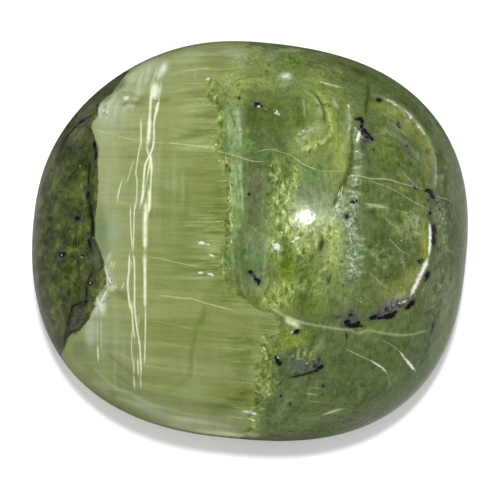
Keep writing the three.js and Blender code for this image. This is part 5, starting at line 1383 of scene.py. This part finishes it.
def fibres(per_mm, along_per_mm):
    where = stone.node("ShaderNodeCombineXYZ", None, {0: along * along_per_mm, 1: fibre_height * per_mm})
    return stone.noise(where, 1.0, 2, 0.6)


cross_bands = stone.noise(stone.place(scale=(2.4, 0.15, 0.4)), 1.0, 3, 0.55)
panel_depth = stone.mark("panel_depth")
fine_fibres = fibres(13.0, 0.7)
near_seam = panel_depth.step(1.6, 0.1)
silk = (0.08 + 0.2 * near_seam) * fine_fibres + 0.06 * fibres(4.0, 0.3) + 0.06 * cross_bands
panel = stone.tint(stone.coat("panel_coat"), 1 + silk + (0.1 + 0.12 * near_seam) * fine_grain + 0.05 * middle_grain)
field_grain = 0.2 * fine_grain + 0.5 * streaks + 0.3 * middle_grain + 0.3 * cloud
field = stone.tint(stone.coat("field_coat"), 1 + field_grain)
yellower = stone.noise(stone.place(shift=(9, 1, 6)), 2.4, 4, 0.7, 0.6)
field = stone.mix(field, (1.1, 1.03, 0.72, 1), yellower.step(0.0, 0.9) * 0.9, "MULTIPLY")
field = stone.mix(field, (0.86, 1.0, 1.1, 1), yellower.step(0.0, -0.9) * 0.9, "MULTIPLY")

# The fibres end raggedly at the seam, and some catch the light there
panel = stone.mix(panel, paint(188, 198, 142), (fine_fibres.step(0.3, 0.7) * near_seam) * 0.5)
seam_rag = stone.noise(stone.place(scale=(0.6, 1.6, 0.6), shift=(4, 4, 9)), 3.0, 4, 0.65)
in_panel = (panel_depth + seam_rag * 0.3).step(-0.07, 0.07)
body = stone.mix(field, panel, in_panel)
dark_side = stone.tint(stone.coat("moss_coat"), 1 + 0.45 * fine_grain + 0.6 * middle_grain + 0.9 * cloud)
in_dark_side = (stone.mark("dark_side_depth") + frayed * 0.03).step(-0.03, 0.02)
colour = stone.mix(body, dark_side, in_dark_side)

# %% Moss and crystal


class Growth:
    """A kind of moss or crystal: how thickly it grew, set against a noise of many sizes."""

    def __init__(self, name, per_mm, shift, stretch=(1, 1, 1)):
        where = stone.place(scale=stretch, shift=shift)
        self.ragged = stone.noise(where, per_mm, 4, 0.75, 0.4)
        self.thick = stone.mark(name)
        self.there = (self.thick * 8).limit()
        self.threads = (stone.noise(where, per_mm * 0.5, 3, 0.6, 1.2) * 6).bell()

    def peaks(self, start, end):
        """Ragged blots where the noise is high."""
        return (self.thick * 1.1 + self.ragged * self.there * 1.1 - 0.6).step(start, end)

    def gaps(self, start, end):
        """The same where the noise is low."""
        return (self.thick * 1.1 - self.ragged * self.there * 1.1 - 0.6).step(start, end)


hollow = Growth("hollow", 3.2, (31, 5, 2))
tuft = Growth("tuft", 5.0, (3, 17, 8), (1, 0.55, 1))
crystal = Growth("crystal", 8.0, (13, 2, 21))
smoke = Growth("smoke", 6.0, (5, 27, 1))
colour = stone.mix(colour, paint(64, 86, 32), hollow.peaks(-0.1, 0.2) * 0.7)
colour = stone.mix(colour, paint(76, 98, 32), tuft.gaps(-0.05, 0.15) * 0.75)
colour = stone.mix(colour, paint(160, 180, 96), tuft.peaks(-0.05, 0.15) * 0.6)
colour = stone.mix(colour, paint(186, 202, 120), (tuft.threads * tuft.thick * 1.2).limit() * 0.45)
colour = stone.mix(colour, paint(218, 230, 172), tuft.peaks(0.25, 0.5) * 0.85)
# Crystal gaps and peaks; round the crown's highlight they also paint the sparkle of the polish.
colour = stone.mix(colour, paint(86, 106, 66), crystal.gaps(-0.05, 0.2) * 0.55)
colour = stone.mix(colour, paint(160, 178, 142), crystal.peaks(-0.1, 0.15) * 0.55)
colour = stone.mix(colour, paint(226, 236, 214), crystal.peaks(0.3, 0.6) * 0.8)
colour = stone.mix(colour, paint(98, 98, 94), smoke.peaks(-0.35, 0.15) * 0.75)
colour = stone.mix(colour, paint(30, 32, 32), smoke.peaks(0.1, 0.4) * 0.8)

# %% Lines and spots over them


def line_cover(name, wander=0.25):
    """A soft line where the offset is small, broken a little by the grain."""
    offset = stone.mark(name + "_offset") + frayed * wander
    return (offset.bell() * stone.mark(name)).limit()


def spot_cover(name, fray=0.22, start=-0.02, end=0.2):
    """A spot with a frayed edge."""
    return (stone.mark(name) + frayed * fray + fine_grain * fray * 0.4).step(start, end)


shimmer = 0.8 + 0.4 * middle_grain
colour = stone.mix(colour, paint(200, 210, 158), (line_cover("vein") * shimmer).limit() * 0.8)
for family in ("strand_a", "strand_b", "strand_c", "strand_d"):
    colour = stone.mix(colour, paint(242, 246, 210), (line_cover(family) * (shimmer + 0.15)).limit())
colour = stone.mix(colour, paint(122, 136, 70), line_cover("strand_gap"))
colour = stone.mix(colour, paint(24, 28, 18), line_cover("crack", 0.4) * 0.95)
colour = stone.mix(colour, paint(70, 76, 70), spot_cover("black_spot", 0.4, -0.9, 0.2) * 0.6)
colour = stone.mix(colour, paint(16, 19, 17), spot_cover("black_spot", 0.4, -0.1, 0.3) * 0.95)
colour = stone.mix(colour, paint(238, 242, 222), line_cover("pocket_rim", 0.9))
colour = stone.mix(colour, paint(236, 243, 220), spot_cover("white_spot", 0.45, -0.05, 0.45) * 0.85)

# %% [markdown]
# ## The polish
# Opal takes a glassy polish with a low index of refraction, so the surface shows small, sharp
# highlights and only its steep sides mirror what stands around it.

# %% Polished surface
surface = stone.tree.nodes.new("ShaderNodeBsdfPrincipled")
surface.inputs["Roughness"].default_value = 0.125
surface.inputs["IOR"].default_value = 1.45
stone.tree.links.new(colour.socket, surface.inputs["Base Color"])
polish = stone.noise(stone.place(shift=(6, 6, 3)), 2.2, 2, 0.5)
waves = stone.node("ShaderNodeBump", None, {"Strength": 1.0, "Distance": 2.5e-6, "Height": polish})
stone.tree.links.new(waves.socket, surface.inputs["Normal"])
out = stone.tree.nodes.new("ShaderNodeOutputMaterial")
stone.tree.links.new(surface.outputs["BSDF"], out.inputs["Surface"])
mesh.materials.append(stone.material)

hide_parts("opal_cabochon")
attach(opal, "root")
print("nodes in the material:", len(stone.tree.nodes))

# %% [markdown]
# ## Camera, floor and light
# The camera looks straight down from half a metre, so the dome hides none of its own sides. The floor
# is plain white. The sky is even, and a wide lamp behind the stone gives the soft shadow. None of them
# mirrors in the polish, which keeps its depth: it shows one small lamp near the crown, and along the
# rim a pale card that lies around the stone.

# %% Camera
frame_width = 20.0
sensor = 36.0
camera = bpy.data.cameras.new("camera")
camera.sensor_width = sensor
camera.lens = (camera_height - girdle_height) * sensor / frame_width
camera.clip_end = 10.0
camera_object = bpy.data.objects.new("camera", camera)
camera_object.location = (view_middle[0] * MM, view_middle[1] * MM, camera_height * MM)
bpy.context.scene.collection.objects.link(camera_object)
bpy.context.scene.camera = camera_object


# %% Floor and cards
def sheet(name, left, bottom, right, top, height):
    """A flat rectangle that faces up."""
    corners = [(left, bottom, height), (right, bottom, height), (right, top, height), (left, top, height)]
    flat = bpy.data.meshes.new(name)
    flat.from_pydata((np.array(corners) * MM).tolist(), [], [(0, 1, 2, 3)])
    made = bpy.data.objects.new(name, flat)
    bpy.context.scene.collection.objects.link(made)
    return made


floor = sheet("floor", -600, -600, 600, 600, 0)
floor.visible_glossy = False
paper = Bench("white_paper")
paper_shader = paper.tree.nodes.new("ShaderNodeBsdfDiffuse")
paper_shader.inputs["Color"].default_value = (0.93, 0.93, 0.93, 1)
paper_out = paper.tree.nodes.new("ShaderNodeOutputMaterial")
paper.tree.links.new(paper_shader.outputs[0], paper_out.inputs["Surface"])
floor.data.materials.append(paper.material)

# The polish alone sees this one. It glows at the right, less at the left, and fades out between them.
cards = sheet("cards", -150, -150, 150, 150, 0.02)
cards.visible_camera = False
cards.visible_diffuse = False
cards.visible_shadow = False
glow = Bench("pale_cards")
glow.object_place = glow.node("ShaderNodeTexCoord", output="Object")
heading = glow.node("ShaderNodeVectorMath", {"operation": "NORMALIZE"}, {0: glow.object_place})


def towards(angle, start, end):
    """Rises from 0 to 1 as the heading comes near an angle; start and end are cosines."""
    way = (np.cos(np.radians(angle)), np.sin(np.radians(angle)), 0)
    near = glow.node("ShaderNodeVectorMath", {"operation": "DOT_PRODUCT"}, {0: heading, 1: way}, "Value")
    return near.step(start, end)


brightness = 0.06 + 0.4 * towards(-20, 0.55, 0.95) + 0.2 * towards(188, 0.75, 0.98)
card_shader = glow.tree.nodes.new("ShaderNodeEmission")
glow.tree.links.new(brightness.socket, card_shader.inputs["Color"])
card_out = glow.tree.nodes.new("ShaderNodeOutputMaterial")
glow.tree.links.new(card_shader.outputs[0], card_out.inputs["Surface"])
cards.data.materials.append(glow.material)

# %% Light
sky_strength = 0.88
sky = bpy.data.worlds.new("studio")
sky.use_nodes = True
sky.node_tree.nodes["Background"].inputs["Color"].default_value = (1, 1, 1, 1)
sky.node_tree.nodes["Background"].inputs["Strength"].default_value = sky_strength
sky.cycles_visibility.glossy = False
bpy.context.scene.world = sky


def aim(lamp_object, tilt, heading, distance):
    """Puts a lamp at a tilt from straight up, at a heading anticlockwise from +X, facing the stone."""
    t, h = np.radians(tilt), np.radians(heading)
    lamp_object.location = distance * np.array([np.sin(t) * np.cos(h), np.sin(t) * np.sin(h), np.cos(t)])
    lamp_object.rotation_euler = (0, t, h)
    bpy.context.scene.collection.objects.link(lamp_object)


window = bpy.data.lights.new("window", "SUN")
window.energy = 2.5
window.angle = np.radians(7)
window_object = bpy.data.objects.new("window", window)
aim(window_object, 15.5, 90, 0.5)
window_object.visible_glossy = False

spark = bpy.data.lights.new("spark", "AREA")
spark.shape = "ELLIPSE"
spark.size = 0.038
spark.size_y = 0.015
spark.energy = 0.42
spark_object = bpy.data.objects.new("spark", spark)
aim(spark_object, 20.6, 24.8, 0.5)
spark_object.visible_camera = False
spark_object.visible_diffuse = False

bpy.context.scene.view_settings.view_transform = "Standard"
